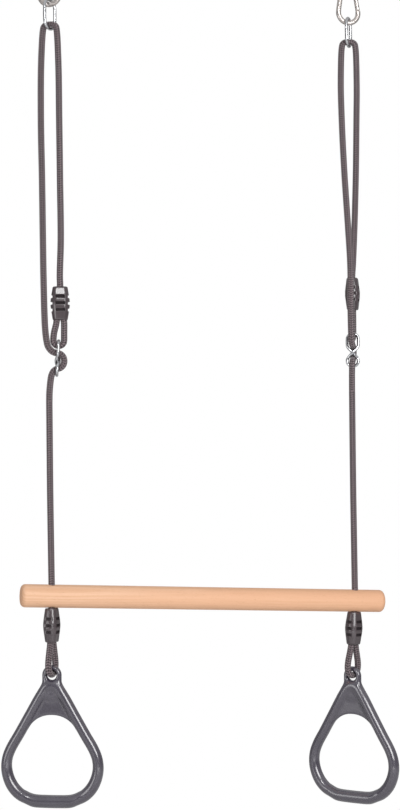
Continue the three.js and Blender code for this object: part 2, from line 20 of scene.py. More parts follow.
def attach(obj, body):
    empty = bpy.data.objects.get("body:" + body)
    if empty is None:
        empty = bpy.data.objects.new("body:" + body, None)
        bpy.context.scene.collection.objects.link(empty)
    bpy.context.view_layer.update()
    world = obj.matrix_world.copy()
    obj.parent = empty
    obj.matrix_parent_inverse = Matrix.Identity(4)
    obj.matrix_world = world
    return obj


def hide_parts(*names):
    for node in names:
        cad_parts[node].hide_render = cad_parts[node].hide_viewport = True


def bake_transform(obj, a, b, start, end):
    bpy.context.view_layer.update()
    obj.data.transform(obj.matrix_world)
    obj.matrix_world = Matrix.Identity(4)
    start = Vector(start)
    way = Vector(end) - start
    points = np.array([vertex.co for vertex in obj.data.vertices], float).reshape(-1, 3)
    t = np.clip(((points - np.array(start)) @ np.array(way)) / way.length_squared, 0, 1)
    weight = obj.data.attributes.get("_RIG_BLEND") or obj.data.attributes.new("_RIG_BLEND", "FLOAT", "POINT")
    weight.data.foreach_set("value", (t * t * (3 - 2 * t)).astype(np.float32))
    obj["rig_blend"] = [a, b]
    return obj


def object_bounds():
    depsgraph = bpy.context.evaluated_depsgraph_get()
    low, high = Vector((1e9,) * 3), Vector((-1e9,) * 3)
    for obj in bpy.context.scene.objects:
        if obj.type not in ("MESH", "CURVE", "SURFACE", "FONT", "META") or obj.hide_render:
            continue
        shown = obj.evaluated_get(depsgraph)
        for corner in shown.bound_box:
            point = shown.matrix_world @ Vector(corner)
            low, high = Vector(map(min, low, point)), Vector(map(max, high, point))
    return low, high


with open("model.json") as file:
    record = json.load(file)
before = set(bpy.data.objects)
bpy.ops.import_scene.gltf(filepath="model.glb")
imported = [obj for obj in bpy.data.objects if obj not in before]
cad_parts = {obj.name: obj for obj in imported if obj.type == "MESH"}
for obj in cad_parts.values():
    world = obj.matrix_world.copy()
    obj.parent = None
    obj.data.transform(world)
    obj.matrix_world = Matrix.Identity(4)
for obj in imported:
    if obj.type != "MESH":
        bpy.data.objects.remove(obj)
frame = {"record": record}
cad_low, cad_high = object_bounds()
print("CAD box", [round(high - low, 4) for low, high in zip(cad_low, cad_high)])

# %% [markdown]
# ## Camera
# The picture was taken from a little left of the trapeze and a little below its middle, looking
# slightly up. The camera could be moved by eye until the picture fits. Here its place and angles were
# worked out from the bar, the ropes and the rings in the photograph, because only then does every rope
# of the render lie over its own rope in the photograph.

# %% Place the camera
camera_place = Vector((-0.39685, -2.52006, -0.79064))
camera_yaw = math.radians(-14.055)
camera_pitch = math.radians(2.344)
camera_roll = math.radians(-0.4)
camera_lens = 74.16


def in_scene(name, data):
    """A new object in the scene, for a mesh, a light or a camera."""
    thing = bpy.data.objects.new(name, data)
    bpy.context.scene.collection.objects.link(thing)
    return thing


def camera_matrix():
    turn = Matrix.Rotation(camera_yaw, 4, "Z") @ Matrix.Rotation(camera_pitch, 4, "X")
    upright = Matrix.Rotation(math.pi / 2, 4, "X")
    roll = Matrix.Rotation(camera_roll, 4, "Z")
    return Matrix.Translation(camera_place) @ turn @ upright @ roll


camera = in_scene("camera", bpy.data.cameras.new("camera"))
camera.data.lens = camera_lens
camera.matrix_world = camera_matrix()
bpy.context.scene.camera = camera
print("camera looks along", [round(x, 4) for x in camera.matrix_world.to_3x3() @ Vector((0, 0, -1))])

# %% [markdown]
# ## Driving sizes
# These are the sizes of the part's own source, in metres. Finer pieces could be measured off the solids
# instead, but named sizes let each piece follow when one of them changes. Each side has its own heights
# and turns, because the two ropes of the photograph hang a little differently.

# %% Name the sizes
rope_diameter = 0.010
running_gap = 0.0003
bar = Sizes(length=0.580, diameter=0.035, end_round=0.007, hole_inset=0.0475, bore=0.0125)
right_end_drop = 0.019
hole_spacing = bar.length - 2 * bar.hole_inset
bar_tilt = math.asin(right_end_drop / hole_spacing)
hook_spacing = hole_spacing * math.cos(bar_tilt)
hook = Sizes(wire=0.008, height=0.080, wide_radius=0.0165, narrow_radius=0.009, nose_rise=0.0015)
gate = Sizes(diameter=0.007, pin_inset=0.006, pin=0.0022, bore=0.0042, bore_depth=0.013)
tongue = Sizes(width=0.0064, thickness=0.0026, nose_length=0.005, gap=0.0004)
link = Sizes(wire=0.005, height=0.050, width=0.030, seat_gap=0.0007)
eight = Sizes(wire=0.0045, width=0.0225, above=0.0333, below=0.0244, reach=0.010, out=0.0102, lean=3)
clamp = Sizes(length=0.051, broad=0.0286, narrow=0.0236, end_share=0.82)
groove = Sizes(width=0.0046, depth=0.005, pitch=0.0102, window=0.0136, notch=0.0025)
passage = Sizes(offset=0.0052, radius=rope_diameter / 2 + 0.0005, single_length=0.011)
ring = Sizes(grip=0.0195, half_across=0.0706, eye_height=0.200, eye=0.0146, web=0.006, seat_gap=0.0014)
lug = Sizes(width=0.0302, depth=0.011, foot_below_eye=0.0225)

left = Sizes(
    name="left", place=0, hook_turn=-32, link_turn=43, strand_turn=-27, adjuster_turn=-9,
    waist=-0.6178, clamp_bottom=-0.5552, bar_height=-0.9752, loop_turn=57, ring_turn=-22, tilt=0,
)
right = Sizes(
    name="right", place=hook_spacing, hook_turn=0, link_turn=56, strand_turn=-11, adjuster_turn=63,
    waist=-0.5993, clamp_bottom=-0.5299, bar_height=left.bar_height - right_end_drop,
    loop_turn=33, ring_turn=-47, tilt=bar_tilt,
)
sides = (left, right)
link_top = 2 * hook.wire - hook.height + link.seat_gap + link.wire / 2
link_bottom = link_top - (link.height - link.wire)
print("hooks", round(hook_spacing, 5), "apart; the bar leans", round(math.degrees(bar_tilt), 2))

# %% Places on each side
def shifted(x, y, z):
    return Matrix.Translation((x, y, z))


def turned_about(axis, angle):
    return Matrix.Rotation(angle, 4, axis)


def at_side(side, z, turn_degrees):
    return shifted(side.place, 0, z) @ turned_about("Z", math.radians(turn_degrees))


def lower_mouth(side):
    """The frame at the lower mouth of the clamp under the bar: it leans with the bar's end."""
    seat = running_gap + clamp.broad / 2 * clamp.end_share * math.sin(bar_tilt - side.tilt)
    drop = bar.diameter / 2 + seat + clamp.length
    lean = shifted(side.place, 0, side.bar_height) @ turned_about("Y", side.tilt)
    return lean @ shifted(0, 0, -drop) @ turned_about("Z", math.radians(side.loop_turn))


for side in sides:
    print(side.name, "lower mouth", [round(value, 4) for value in lower_mouth(side).translation])

# %% [markdown]
# ## Smooth lines
# Nearly every piece here is a round wire or rope that runs along a line. The line could be a Bezier
# curve with handles set by hand. A centripetal Catmull-Rom curve needs only the places that it runs
# through, makes no loops between them, and is the same kind of curve as in the part's source.

# %% Lines through chosen places
def smooth_line(places, step, closed=False):
    """Points about a step apart on the smooth curve through the places."""
    places = np.array(places, float)
    count = len(places)
    if closed:
        padded = np.vstack([places[-1:], places, places[:2]])
    else:
        before = 2 * places[0] - places[1]
        after = 2 * places[-1] - places[-2]
        padded = np.vstack([[before], places, [after]])
    points = []
    for i in range(count if closed else count - 1):
        a, b, c, d = padded[i : i + 4]
        first, middle, last = (math.sqrt(np.linalg.norm(q - p)) for p, q in ((a, b), (b, c), (c, d)))
        leave = (b - a) / first - (c - a) / (first + middle) + (c - b) / middle
        arrive = (c - b) / middle - (d - b) / (middle + last) + (d - c) / last
        leave, arrive = leave * middle, arrive * middle
        parts = max(1, round(np.linalg.norm(c - b) / step))
        for k in range(parts):
            t = k / parts
            square, cube = t * t, t * t * t
            point = (2 * cube - 3 * square + 1) * b + (3 * square - 2 * cube) * c
            points.append(point + (cube - 2 * square + t) * leave + (cube - square) * arrive)
    if not closed:
        points.append(places[-1])
    return np.array(points)


def lengths_along(line):
    return np.concatenate([[0], np.cumsum(np.linalg.norm(np.diff(line, axis=0), axis=1))])


quarter = smooth_line([(math.cos(a), math.sin(a), 0) for a in np.radians((0, 30, 60, 90))], 0.01)
print("a quarter circle through four places is", round(lengths_along(quarter)[-1], 4), "long")

# %% [markdown]
# ## Tubes
# A tube is a row of rings of points, joined by four-sided faces. Blender can give a curve a round bevel
# too. Here the points themselves are needed: to press the rope flat where it bears on metal, to let a
# wire swell at its weld, and to lay a pattern along the rope's real length.

# %% Directions along a line
def directions(line, closed):
    if closed:
        ahead = np.roll(line, -1, axis=0) - np.roll(line, 1, axis=0)
    else:
        ahead = np.gradient(line, axis=0)
    return ahead / np.linalg.norm(ahead, axis=1, keepdims=True)


def cross_axes(line, closed):
    """Two axes across the line at each point, that turn as little as possible along it."""
    ahead = directions(line, closed)
    start = np.cross(ahead[0], (0, 1, 0) if abs(ahead[0][1]) < 0.8 else (1, 0, 0))
    axes = [start / np.linalg.norm(start)]
    for current in ahead[1:]:
        axis = axes[-1] - current * np.dot(axes[-1], current)
        axes.append(axis / np.linalg.norm(axis))
    first = np.array(axes)
    return first, np.cross(ahead, first)


print("the quarter circle ends along", [round(float(x), 2) for x in directions(quarter, False)[-1]])

# %% Tubes along a line
def mesh_object(name, points, faces, smooth_angle=None):
    mesh = bpy.data.meshes.new(name)
    mesh.from_pydata([tuple(p) for p in points], [], faces)
    mesh.validate()
    mesh.shade_smooth()
    if smooth_angle:
        mesh.set_sharp_from_angle(angle=math.radians(smooth_angle))
    return in_scene(name, mesh)


def tube_parts(line, radius, count, closed=False, end_round=0):
    """Points and faces of a round tube. Its ends are domed by end_round, or closed by a flat face."""
    radii = np.broadcast_to(np.asarray(radius, float), (len(line),)).copy()
    if end_round and not closed:
        along = lengths_along(line)
        for reach in (along, along[-1] - along):
            near = np.clip(reach / end_round, 0, 1)
            radii -= end_round * (1 - np.sqrt(1 - (1 - near) ** 2))
    first, second = cross_axes(line, closed)
    angles = 2 * math.pi * np.arange(count) / count
    across = first[:, None] * np.cos(angles)[None, :, None] + second[:, None] * np.sin(angles)[None, :, None]
    points = (line[:, None] + across * radii[:, None, None]).reshape(-1, 3)
    faces = []
    for i in range(len(line) if closed else len(line) - 1):
        low, high = i * count, ((i + 1) % len(line)) * count
        for k in range(count):
            turn = (k + 1) % count
            faces.append((low + k, low + turn, high + turn, high + k))
    if not closed:
        faces.append(tuple(reversed(range(count))))
        faces.append(tuple(range(len(points) - count, len(points))))
    return points, faces


print("a tube along it has", len(tube_parts(quarter, 0.1, 8)[0]), "points")

# %% [markdown]
# ## Pieces in the frame
# Each fine piece takes the place of one CAD solid and rides on that solid's body, so that it moves with
# the joints. The body could be named piece by piece, but the frame's record already lists the bodies.

# %% Stand a piece in for a solid
bodies = frame["record"]["behaviour"]["bodies"]
body_of_node = {node: body for body, nodes in bodies.items() for node in nodes}


def stand_for(thing, node, material):
    """The piece takes the place of a CAD node, with a material, and rides on the node's body."""
    thing.data.materials.clear()
    thing.data.materials.append(material)
    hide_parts(node)
    if thing.get("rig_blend") is None:
        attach(thing, body_of_node[node])
    return thing


# %% [markdown]
# ## Nodes
# A material is a graph of nodes. Each could be made, set and joined by hand, in four or five lines every
# time. One function does this for all of them: it takes the kind of node, then its settings, because
# these can change what sockets there are, and then a value or a link for each socket.

# %% Make and join nodes
def feed(value, socket):
    """Links a Value to the socket. A plain number or colour is set on it."""
    if isinstance(value, Value):
        socket.id_data.links.new(value.socket, socket)
    else:
        socket.default_value = value


def new_node(tree, kind, settings, inputs):
    """A node with its settings, which come first, and the values or links of its sockets."""
    node = tree.nodes.new(f"ShaderNode{kind}")
    for name, setting in settings.items():
        setattr(node, name, setting)
    for name, value in inputs.items():
        feed(value, node.inputs[name])
    return node


def worked_out(operation, *values):
    """A Math node on Values and plain numbers."""
    tree = next(value.tree for value in values if isinstance(value, Value))
    node = new_node(tree, "Math", {"operation": operation}, dict(enumerate(values)))
    return Value(node.outputs[0])


kinds = [name for name in dir(bpy.types) if name.startswith("ShaderNode")]
print("there are", len(kinds), "kinds of shader node")

# %% [markdown]
# ## Arithmetic in materials
# A procedural pattern is arithmetic on coordinates. Its Math nodes could be listed one by one, which
# hides the idea. A Value wraps one output of a node and knows how to add, multiply and so on, with a
# plain number on either side, so that a pattern reads as a plain formula.

# %% Arithmetic on shader values
class Value:
    """One output in a node tree, which can be added, multiplied and so on."""

    def __init__(self, socket):
        self.socket = socket
        self.tree = socket.id_data

    def __add__(self, other):
        return worked_out("ADD", self, other)

    __radd__ = __add__

    def __sub__(self, other):
        return worked_out("SUBTRACT", self, other)

    def __rsub__(self, other):
        return worked_out("SUBTRACT", other, self)

    def __mul__(self, other):
        return worked_out("MULTIPLY", self, other)

    __rmul__ = __mul__

    def __truediv__(self, other):
        return worked_out("DIVIDE", self, other)

    def __rtruediv__(self, other):
        return worked_out("DIVIDE", other, self)

    def __pow__(self, other):
        return worked_out("POWER", self, other)

    def __rpow__(self, other):
        return worked_out("POWER", other, self)

    def __mod__(self, other):
        return worked_out("FLOORED_MODULO", self, other)

    def __rmod__(self, other):
        return worked_out("FLOORED_MODULO", other, self)

    def __abs__(self):
        return worked_out("ABSOLUTE", self)

    def floor(self):
        return worked_out("FLOOR", self)

    def wave(self, period):
        """Runs smoothly from 0 to 1 and back once each period."""
        return worked_out("SINE", self * (2 * math.pi / period)) * 0.5 + 0.5

    def between(self, low, high):
        """0 below low and 1 above high, smooth between. With low above high it falls instead."""
        falls = low > high
        inputs = {"Value": self, "From Min": min(low, high), "From Max": max(low, high)}
        inputs.update({"To Min": float(falls), "To Max": float(not falls)})
        node = new_node(self.tree, "MapRange", {"interpolation_type": "SMOOTHSTEP"}, inputs)
        return Value(node.outputs["Result"])


print("a Value can", [name.strip("_") for name, part in vars(Value).items() if callable(part)])

# %% [markdown]
# ## Building blocks of a material
# Noise that is stretched along one axis gives grain, fibres or smears, and a bump turns a height into
# relief. Image textures could do the same, but they repeat and need files. Colours are written as a
# picture shows them and turned into the linear values that a shader works with.

# %% Colours
def linear(red, green, blue):
    """A colour as a picture shows it, 0 to 255, turned into the shader's linear values."""
    shares = (channel / 255 for channel in (red, green, blue))
    return tuple(((s + 0.055) / 1.055) ** 2.4 if s > 0.04 else s / 12.92 for s in shares) + (1,)


def blended(share, first, second):
    """The first colour where share is 0, the second where it is 1."""
    node = new_node(share.tree, "Mix", {"data_type": "RGBA"}, {"Factor": share, 6: first, 7: second})
    return Value(node.outputs[2])


print("a middle grey of 128 is", round(linear(128, 128, 128)[0], 3), "in linear light")

# %% Patterns
def local_place(tree):
    """Where a point of the surface lies on its own piece, in metres."""
    return Value(new_node(tree, "TexCoord", {}, {}).outputs["Object"])


def apart(place):
    """The x, y and z of a place, each a Value."""
    return [Value(output) for output in new_node(place.tree, "SeparateXYZ", {}, {0: place}).outputs]


def stretched(place, x, y, z):
    """The larger a number, the finer is a pattern along that axis."""
    inputs = {"Vector": place, "Scale": (x, y, z)}
    return Value(new_node(place.tree, "Mapping", {}, inputs).outputs[0])


def noise(place, scale, detail=3, roughness=0.5):
    inputs = {"Vector": place, "Scale": scale, "Detail": detail, "Roughness": roughness}
    return Value(new_node(place.tree, "TexNoise", {}, inputs).outputs["Fac"])


def relief(height, distance, strength=1.0):
    """A bump whose full height stands that far out, in metres."""
    inputs = {"Height": height, "Distance": distance, "Strength": strength}
    return Value(new_node(height.tree, "Bump", {}, inputs).outputs["Normal"])


print("patterns are made of", [part.__name__ for part in (local_place, apart, stretched, noise, relief)])

# %% A new material
coat_roughness = 0.16


def new_material(name, colour, roughness, metallic=0.0, coat=0.0, sheen=0.0, gloss=1.5):
    """A material whose even values sit on the shader itself. Its patterns are fed in afterwards."""
    material = bpy.data.materials.new(name)
    material.use_nodes = True
    tree = material.node_tree
    shader = tree.nodes["Principled BSDF"]
    even = {
        "Base Color": colour, "Roughness": roughness, "Metallic": metallic, "Coat Weight": coat,
        "Coat Roughness": coat_roughness, "Coat IOR": gloss, "Sheen Weight": sheen,
    }
    for socket_name, value in even.items():
        feed(value, shader.inputs[socket_name])
    return material, tree, shader


print("clear coats have a roughness of", coat_roughness)

# %% [markdown]
# ## Ropes
# The real ropes have a plaited cover over a core. The plait could be modelled strand by strand, with a
# great many faces for stitches that are two pixels high in the picture. Here the cover is a pattern in
# the rope's own coordinates: columns of short stitches that lean left and right in turn and follow
# every bend. Painted shade darkens the gaps between stitches and the columns that lean one way, and a
# bump gives them depth.

# %% Braided rope material
stitch_columns = 8
stitch_height = 0.0036
stitch_slant = 0.5
filaments = 3


def rope_material():
    """A plaited cover: columns of slanting stitches that lean left and right in turn."""
    material, tree, shader = new_material("rope", linear(98, 86, 91), roughness=0.8, sheen=0.25)
    place = Value(new_node(tree, "UVMap", {"uv_map": "rope"}, {}).outputs[0])
    around, along, _ = apart(place)
    column = around * stitch_columns
    leaning = abs(column % 2 - 1)
    row = along / stitch_height + leaning * stitch_slant
    across_row = 1 - (row % 1 * 2 - 1) ** 2
    across_column = 1 - (column % 1 * 2 - 1) ** 2
    height = across_row ** 0.6 * (0.6 + 0.4 * across_column)
    fine = row.wave(1 / filaments)
    mottle = noise(stretched(place, 6, 60, 1), 3, 2)
    # Painted shade: the gaps between stitches take the dark colour, and the columns that lean one way are a
    # fifth darker, as though they caught less light.
    shaded_lean_family = column.floor() % 2
    shade = height.between(0.35, 0.95) * (0.88 + 0.12 * fine) * (1 - 0.2 * shaded_lean_family)
    dark = blended(mottle, linear(12, 6, 9), linear(20, 13, 16))
    light = blended(mottle, linear(122, 107, 111), linear(148, 132, 137))
    feed(blended(shade, dark, light), shader.inputs["Base Color"])
    feed(0.9 - 0.18 * fine, shader.inputs["Roughness"])
    feed(relief(height + 0.08 * fine, 0.0007), shader.inputs["Normal"])
    return material


rope_finish = rope_material()
print("rope material", len(rope_finish.node_tree.nodes), "nodes")

# %% [markdown]
# ### Routes
# Each side has three lengths of rope: the long one from the tail in the clamp, round the eye, up over
# the link and down through the figure-8; the short one down to the bar; and the loop through the bar
# that carries the hand ring. Loose ropes could fall by a simulation. These hang taut, so their places
# are listed one by one and repeat the routes of the part's source.

# %% Places on the routes
clamp_centre = 0.0144
tail_in_clamp = [(-0.0052, 0.017), (-0.0052, 0.003), (-0.006, -0.005)]
eye_of_rope = [
    (0.0048, 0.042), (0.004, 0.031), (0.0051, 0.027), (0.008, 0.0242), (0.012, 0.0231),
    (0.016, 0.0242), (0.019, 0.027), (0.0201, 0.031), (0.0203, 0.042),
]
live_in_clamp = [
    (0.006, -0.005), (0.0052, 0.003), (0.0052, 0.020), (0.0024, 0.029), (0, 0.038), (0, 0.054),
]
weave = [
    (-0.0096, 0.072), (-0.0086, 0.050), (-0.0068, 0.033), (-0.004, 0.0218), (0.002, 0.0146),
    (0.0086, 0.012), (0.0146, 0.0104), (0.0187, 0.0062), (0.0203, 0), (0.0187, -0.0062),
    (0.0146, -0.0104), (0.0086, -0.0124), (0.004, -0.0158), (0.0009, -0.022), (-0.0007, -0.031),
    (-0.0022, -0.047), (-0.0026, -0.062),
]
clamp_strands = {
    "left": [
        (0.0138, -0.0026, -0.487), (0.0154, -0.003, -0.432), (0.0144, -0.004, -0.340),
        (0.0133, -0.005, -0.247), (0.0122, -0.0058, -0.160),
    ],
    "right": [
        (0.0084, 0.0138, -0.455), (0.011, 0.0115, -0.390), (0.0128, 0.008, -0.310),
        (0.0132, 0.0038, -0.230), (0.0131, 0.0002, -0.165),
    ],
}
main_strands = {
    "left": [
        (-0.0127, 0.0056, -0.160), (-0.0135, 0.0045, -0.247), (-0.0122, 0.0035, -0.340),
        (-0.0113, 0.0025, -0.432), (-0.0107, 0.002, -0.487),
    ],
    "right": [
        (-0.0139, 0, -0.165), (-0.0137, -0.0026, -0.230), (-0.0114, -0.0054, -0.310),
        (-0.0076, -0.008, -0.390), (-0.0044, -0.009, -0.455), (-0.004, -0.009, -0.490),
    ],
}
arch_radius = 0.011
arch_flat = 0.0012
parting_above_bar = 0.001
ring_rope_half = [
    (0, 0.051), (0, 0.038), (0.0024, 0.029), (0.0052, 0.020), (0.0052, 0.003), (0.0061, -0.004),
    (0.0093, -0.016), (0.0122, -0.027), (0.013, -0.0358), (0.0113, -0.0423), (0.0065, -0.0471),
    (0, -0.0488),
]
tail_in_lower_clamp = [(-0.0061, -0.004), (-0.0052, 0.003), (-0.0052, 0.017)]
print("the weave through the figure-8 has", len(weave), "places")

# %% Routes of the ropes
def arc_places(x, z, radius, start, stop, steps):
    """Places on an arc in the XZ plane, both ends included. Angles are degrees."""
    angles = np.radians(np.linspace(start, stop, steps + 1))
    return [(x + radius * math.cos(a), 0, z + radius * math.sin(a)) for a in angles]


def turned(flat, degrees, out, up):
    """A flat stretch of rope, places out and up, turned about the plumb line."""
    angle = math.radians(degrees)
    return [((x + out) * math.cos(angle), (x + out) * math.sin(angle), z + up) for x, z in flat]


def arch_over_link(side):
    crown = link_bottom + (link.wire + rope_diameter) / 2 + running_gap
    arc = arc_places(0, 0, arch_radius, 0, 180, 6)
    flat = [(x, z - arch_flat * (z / arch_radius) ** 6) for x, _, z in arc]
    return turned(flat, side.strand_turn, 0, crown - arch_radius + arch_flat)


def upper_route(side):
    route = turned(tail_in_clamp, side.adjuster_turn, clamp_centre, side.clamp_bottom)
    route += turned(eye_of_rope, side.adjuster_turn, 0, side.waist)
    route += turned(live_in_clamp, side.adjuster_turn, clamp_centre, side.clamp_bottom)
    route += clamp_strands[side.name] + arch_over_link(side) + main_strands[side.name]
    route += turned(weave, side.adjuster_turn, 0, side.waist)
    return [(x + side.place, y, z) for x, y, z in route]


def lower_route(side):
    top = upper_route(side)[-1]
    rise = bar.diameter / 2 + parting_above_bar
    end = (side.place + rise * math.sin(side.tilt), 0, side.bar_height + rise * math.cos(side.tilt))
    middle = (side.place + 2 * (top[0] - side.place) / 3, 2 * top[1] / 3, (top[2] + end[2]) / 2)
    return [top, middle, end]


def ring_route(side):
    mouth = lower_mouth(side)
    above = (mouth.inverted() @ Vector((side.place, 0, side.bar_height))).z + bar.diameter / 2
    back = [(-x, z) for x, z in reversed(ring_rope_half[6:-1])]
    flat = [(0, above + parting_above_bar)] + ring_rope_half + back + tail_in_lower_clamp
    return [tuple(mouth @ Vector((x, 0, z))) for x, z in flat]


for side in sides:
    routes = (upper_route(side), lower_route(side), ring_route(side))
    print(side.name, [round(float(lengths_along(smooth_line(r, 0.002))[-1]), 4) for r in routes], "m of rope")

# %% [markdown]
# ### Ropes that bend
# A rope bends when a joint moves. It could be cut in two at the joint, but the cut would open. So each
# rope is one mesh whose points follow two bodies in shares, going over from one to the other along the
# rope. Where it bears on the link it is pressed a little flat, as a loaded rope is.

# %% Sweep a rope
rope_sides = 20
rope_step = 0.0016
crown_squeeze = 0.16
crown_reach = 0.009
crown_spread = 0.06


def pressed_on_link(points, line, crown):
    """Flattens the rope where it bears on the link: its top comes down and it spreads a little."""
    centres = np.repeat(line, rope_sides, axis=0)
    share = np.exp(-((np.linalg.norm(centres - crown, axis=1) / crown_reach) ** 2))
    away = points - centres
    points = points.copy()
    points[:, 2] = centres[:, 2] + away[:, 2] * (1 - crown_squeeze * share)
    points[:, 2] -= crown_squeeze * share * rope_diameter / 2
    points[:, 1] += crown_spread * share * away[:, 1]
    return points


def rope_object(name, route, crown=None):
    """A rope whose texture coordinates are its lap round and its length along, in metres."""
    line = smooth_line(route, rope_step)
    points, faces = tube_parts(line, rope_diameter / 2, rope_sides)
    if crown is not None:
        points = pressed_on_link(points, line, np.array(crown))
    thing = mesh_object(name, points, faces, 60)
    along = lengths_along(line)
    layer = thing.data.uv_layers.new(name="rope")
    for face in thing.data.polygons:
        if len(face.vertices) != 4:
            continue
        for loop, vertex in zip(face.loop_indices, face.vertices):
            step, place = divmod(vertex, rope_sides)
            lap = face.vertices[0] % rope_sides == rope_sides - 1 and place == 0
            layer.data[loop].uv = ((place + rope_sides * lap) / rope_sides, along[step])
    return thing, line


print("a rope has", rope_sides, "sides and a ring of points each", rope_step * 1000, "mm")

# %% Make the ropes
blend_bodies = {
    "rope_upper": ("leg_{}", "adjuster_{}"),
    "rope_lower": ("adjuster_{}", "lower_{}"),
    "ring_rope": ("bar", "ring_loop_{}"),
}
strand_top = {"left": -0.113, "right": -0.118}
strand_foot = {"left": -0.497, "right": -0.474}
loop_bend = 0.0215


def dress_rope(thing, line, node, start, end):
    """Lets the rope bend between its two bodies and states its real length."""
    body_a, body_b = blend_bodies[node.rsplit("_", 1)[0]]
    side_name = node.rsplit("_", 1)[1]
    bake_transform(thing, body_a.format(side_name), body_b.format(side_name), start=start, end=end)
    stand_for(thing, node, rope_finish)
    length = float(lengths_along(line)[-1])
    return length


for side in sides:
    place = side.place
    crown = (place, 0, link_bottom + (link.wire + rope_diameter) / 2 + running_gap)
    thing, line = rope_object(f"braided_rope_upper_{side.name}", upper_route(side), crown)
    top, foot = strand_top[side.name], strand_foot[side.name]
    made = [dress_rope(thing, line, f"rope_upper_{side.name}", (place, 0, top), (place, 0, foot))]

    thing, line = rope_object(f"braided_rope_lower_{side.name}", lower_route(side))
    top, foot = line[0][2], line[-1][2]
    made.append(dress_rope(thing, line, f"rope_lower_{side.name}", (place, 0, top), (place, 0, foot)))

    thing, line = rope_object(f"braided_ring_rope_{side.name}", ring_route(side))
    mouth = lower_mouth(side)
    bend = (tuple(mouth.translation), tuple(mouth @ Vector((0, 0, -loop_bend))))
    made.append(dress_rope(thing, line, f"ring_rope_{side.name}", *bend))
    print(side.name, "ropes", [round(length, 3) for length in made])

# %% [markdown]
# ## Wooden bar
# A turned beech dowel with rounded ends. Its wood could be a photograph wrapped round the bar, with a
# seam and a repeat. A pattern in space has neither: growth rings are circles about a heart beside the
# bar, cut lengthwise by its surface, with fine fibres and the short dark flecks that beech has.

# %% Beech
heart = Sizes(y=-0.045, z=0.030)
growth_spacing = 0.0042
end_grain_reach = 0.008


def wood_material():
    """Beech whose grain runs along X."""
    material, tree, shader = new_material("beech", linear(235, 188, 153), roughness=0.62, coat=0.02)
    place = local_place(tree)
    wander = noise(stretched(place, 3, 14, 14), 1, 2)
    x, y, z = apart(place)
    radius = ((y - heart.y) ** 2 + (z - heart.z) ** 2) ** 0.5 + (wander - 0.5) * 0.012
    growth = radius.wave(growth_spacing)
    fibre = noise(stretched(place, 26, 900, 900), 1, 3, 0.6)
    fleck = noise(stretched(place, 170, 1500, 1100), 1, 1).between(0.62, 0.72)
    tone = noise(stretched(place, 4, 26, 26), 1, 2)
    warm = blended(growth.between(0.2, 1), linear(239, 194, 160), linear(231, 183, 147))
    toned = blended(tone.between(0.35, 0.7), warm, linear(235, 185, 149))
    streaked = blended(fibre.between(0.45, 0.75) * 0.3, toned, linear(222, 168, 128))
    # Painted shade: the wood's colour grows darker towards the right end of the bar, as though less light
    # fell there.
    painted_shade_rightward = x.between(-bar.length / 2, bar.length / 2) * 0.4
    flecked = blended(fleck * 0.28, blended(painted_shade_rightward, streaked, linear(222, 165, 126)), linear(196, 140, 102))
    end_grain = abs(x).between(bar.length / 2 - end_grain_reach, bar.length / 2 - end_grain_reach / 8)
    feed(blended(end_grain * 0.3, flecked, linear(186, 136, 100)), shader.inputs["Base Color"])
    feed(0.54 + 0.14 * fibre + 0.04 * growth, shader.inputs["Roughness"])
    feed(relief(fibre + 0.5 * fleck, 0.00012, 0.6), shader.inputs["Normal"])
    return material


wood_finish = wood_material()
print("beech", len(wood_finish.node_tree.nodes), "nodes")

# %% [markdown]
# ### Turning
# The dowel is turned from an outline, as on a lathe, and a boolean difference drills its two holes. A
# bevelled cylinder would come close, but the outline gives the round of the ends its true size and puts
# points beside the holes. Drilling leaves long thin faces that shade badly, so each corner gets the
# true normal of the turned surface back.

# %% Outline of the bar
bar_sides = 96
hole_margin = 0.012


def bar_parts():
    """The turned dowel. It has a ring of points on each side of a hole, which keeps the cuts clean."""
    half, radius, edge = bar.length / 2, bar.diameter / 2, bar.end_round
    corner = [
        (half - edge + edge * math.cos(a), radius - edge + edge * math.sin(a))
        for a in np.radians(np.linspace(0, 90, 9))
    ]
    holes = [hole_spacing / 2 + shift for shift in (hole_margin, 0, -hole_margin)]
    outline = corner + [(x, radius) for x in holes] + [(hole_spacing / 4, radius), (0, radius)]
    outline += [(-x, r) for x, r in reversed(outline[:-1])]
    angles = 2 * math.pi * np.arange(bar_sides) / bar_sides
    points = [(x, r * math.cos(a), r * math.sin(a)) for x, r in outline for a in angles]
    faces = []
    for i in range(len(outline) - 1):
        for k in range(bar_sides):
            turn = (k + 1) % bar_sides
            near, far = i * bar_sides, (i + 1) * bar_sides
            faces.append((near + k, far + k, far + turn, near + turn))
    faces.append(tuple(range(bar_sides)))
    faces.append(tuple(reversed(range(len(points) - bar_sides, len(points)))))
    return points, faces


def bar_normal(point, face_normal):
    """The true normal of the turned surface, or the face's own inside a hole and on the flat ends."""
    radius = math.hypot(point.y, point.z)
    inset = abs(point.x) - (bar.length / 2 - bar.end_round)
    outward = Vector((0, point.y, point.z)).normalized()
    if inset > 0:
        centre = bar.diameter / 2 - bar.end_round
        outward = (outward * (radius - centre) + Vector((math.copysign(inset, point.x), 0, 0))).normalized()
    return outward if outward.dot(face_normal) > 0.9 else face_normal


print("dowel", len(bar_parts()[1]), "faces")

# %% Cut and round
def rod_parts(radius, low, high, count=32):
    line = np.array([(0, 0, low), (0, 0, (low + high) / 2), (0, 0, high)])
    return tube_parts(line, radius, count)


def moved(parts, matrix):
    points, faces = parts
    return [matrix @ Vector(p) for p in points], faces


def with_modifiers(thing):
    """Makes the object's modifiers part of its mesh."""
    bpy.context.view_layer.update()
    seen = thing.evaluated_get(bpy.context.evaluated_depsgraph_get())
    mesh = bpy.data.meshes.new_from_object(seen)
    thing.modifiers.clear()
    thing.data = mesh
    return thing


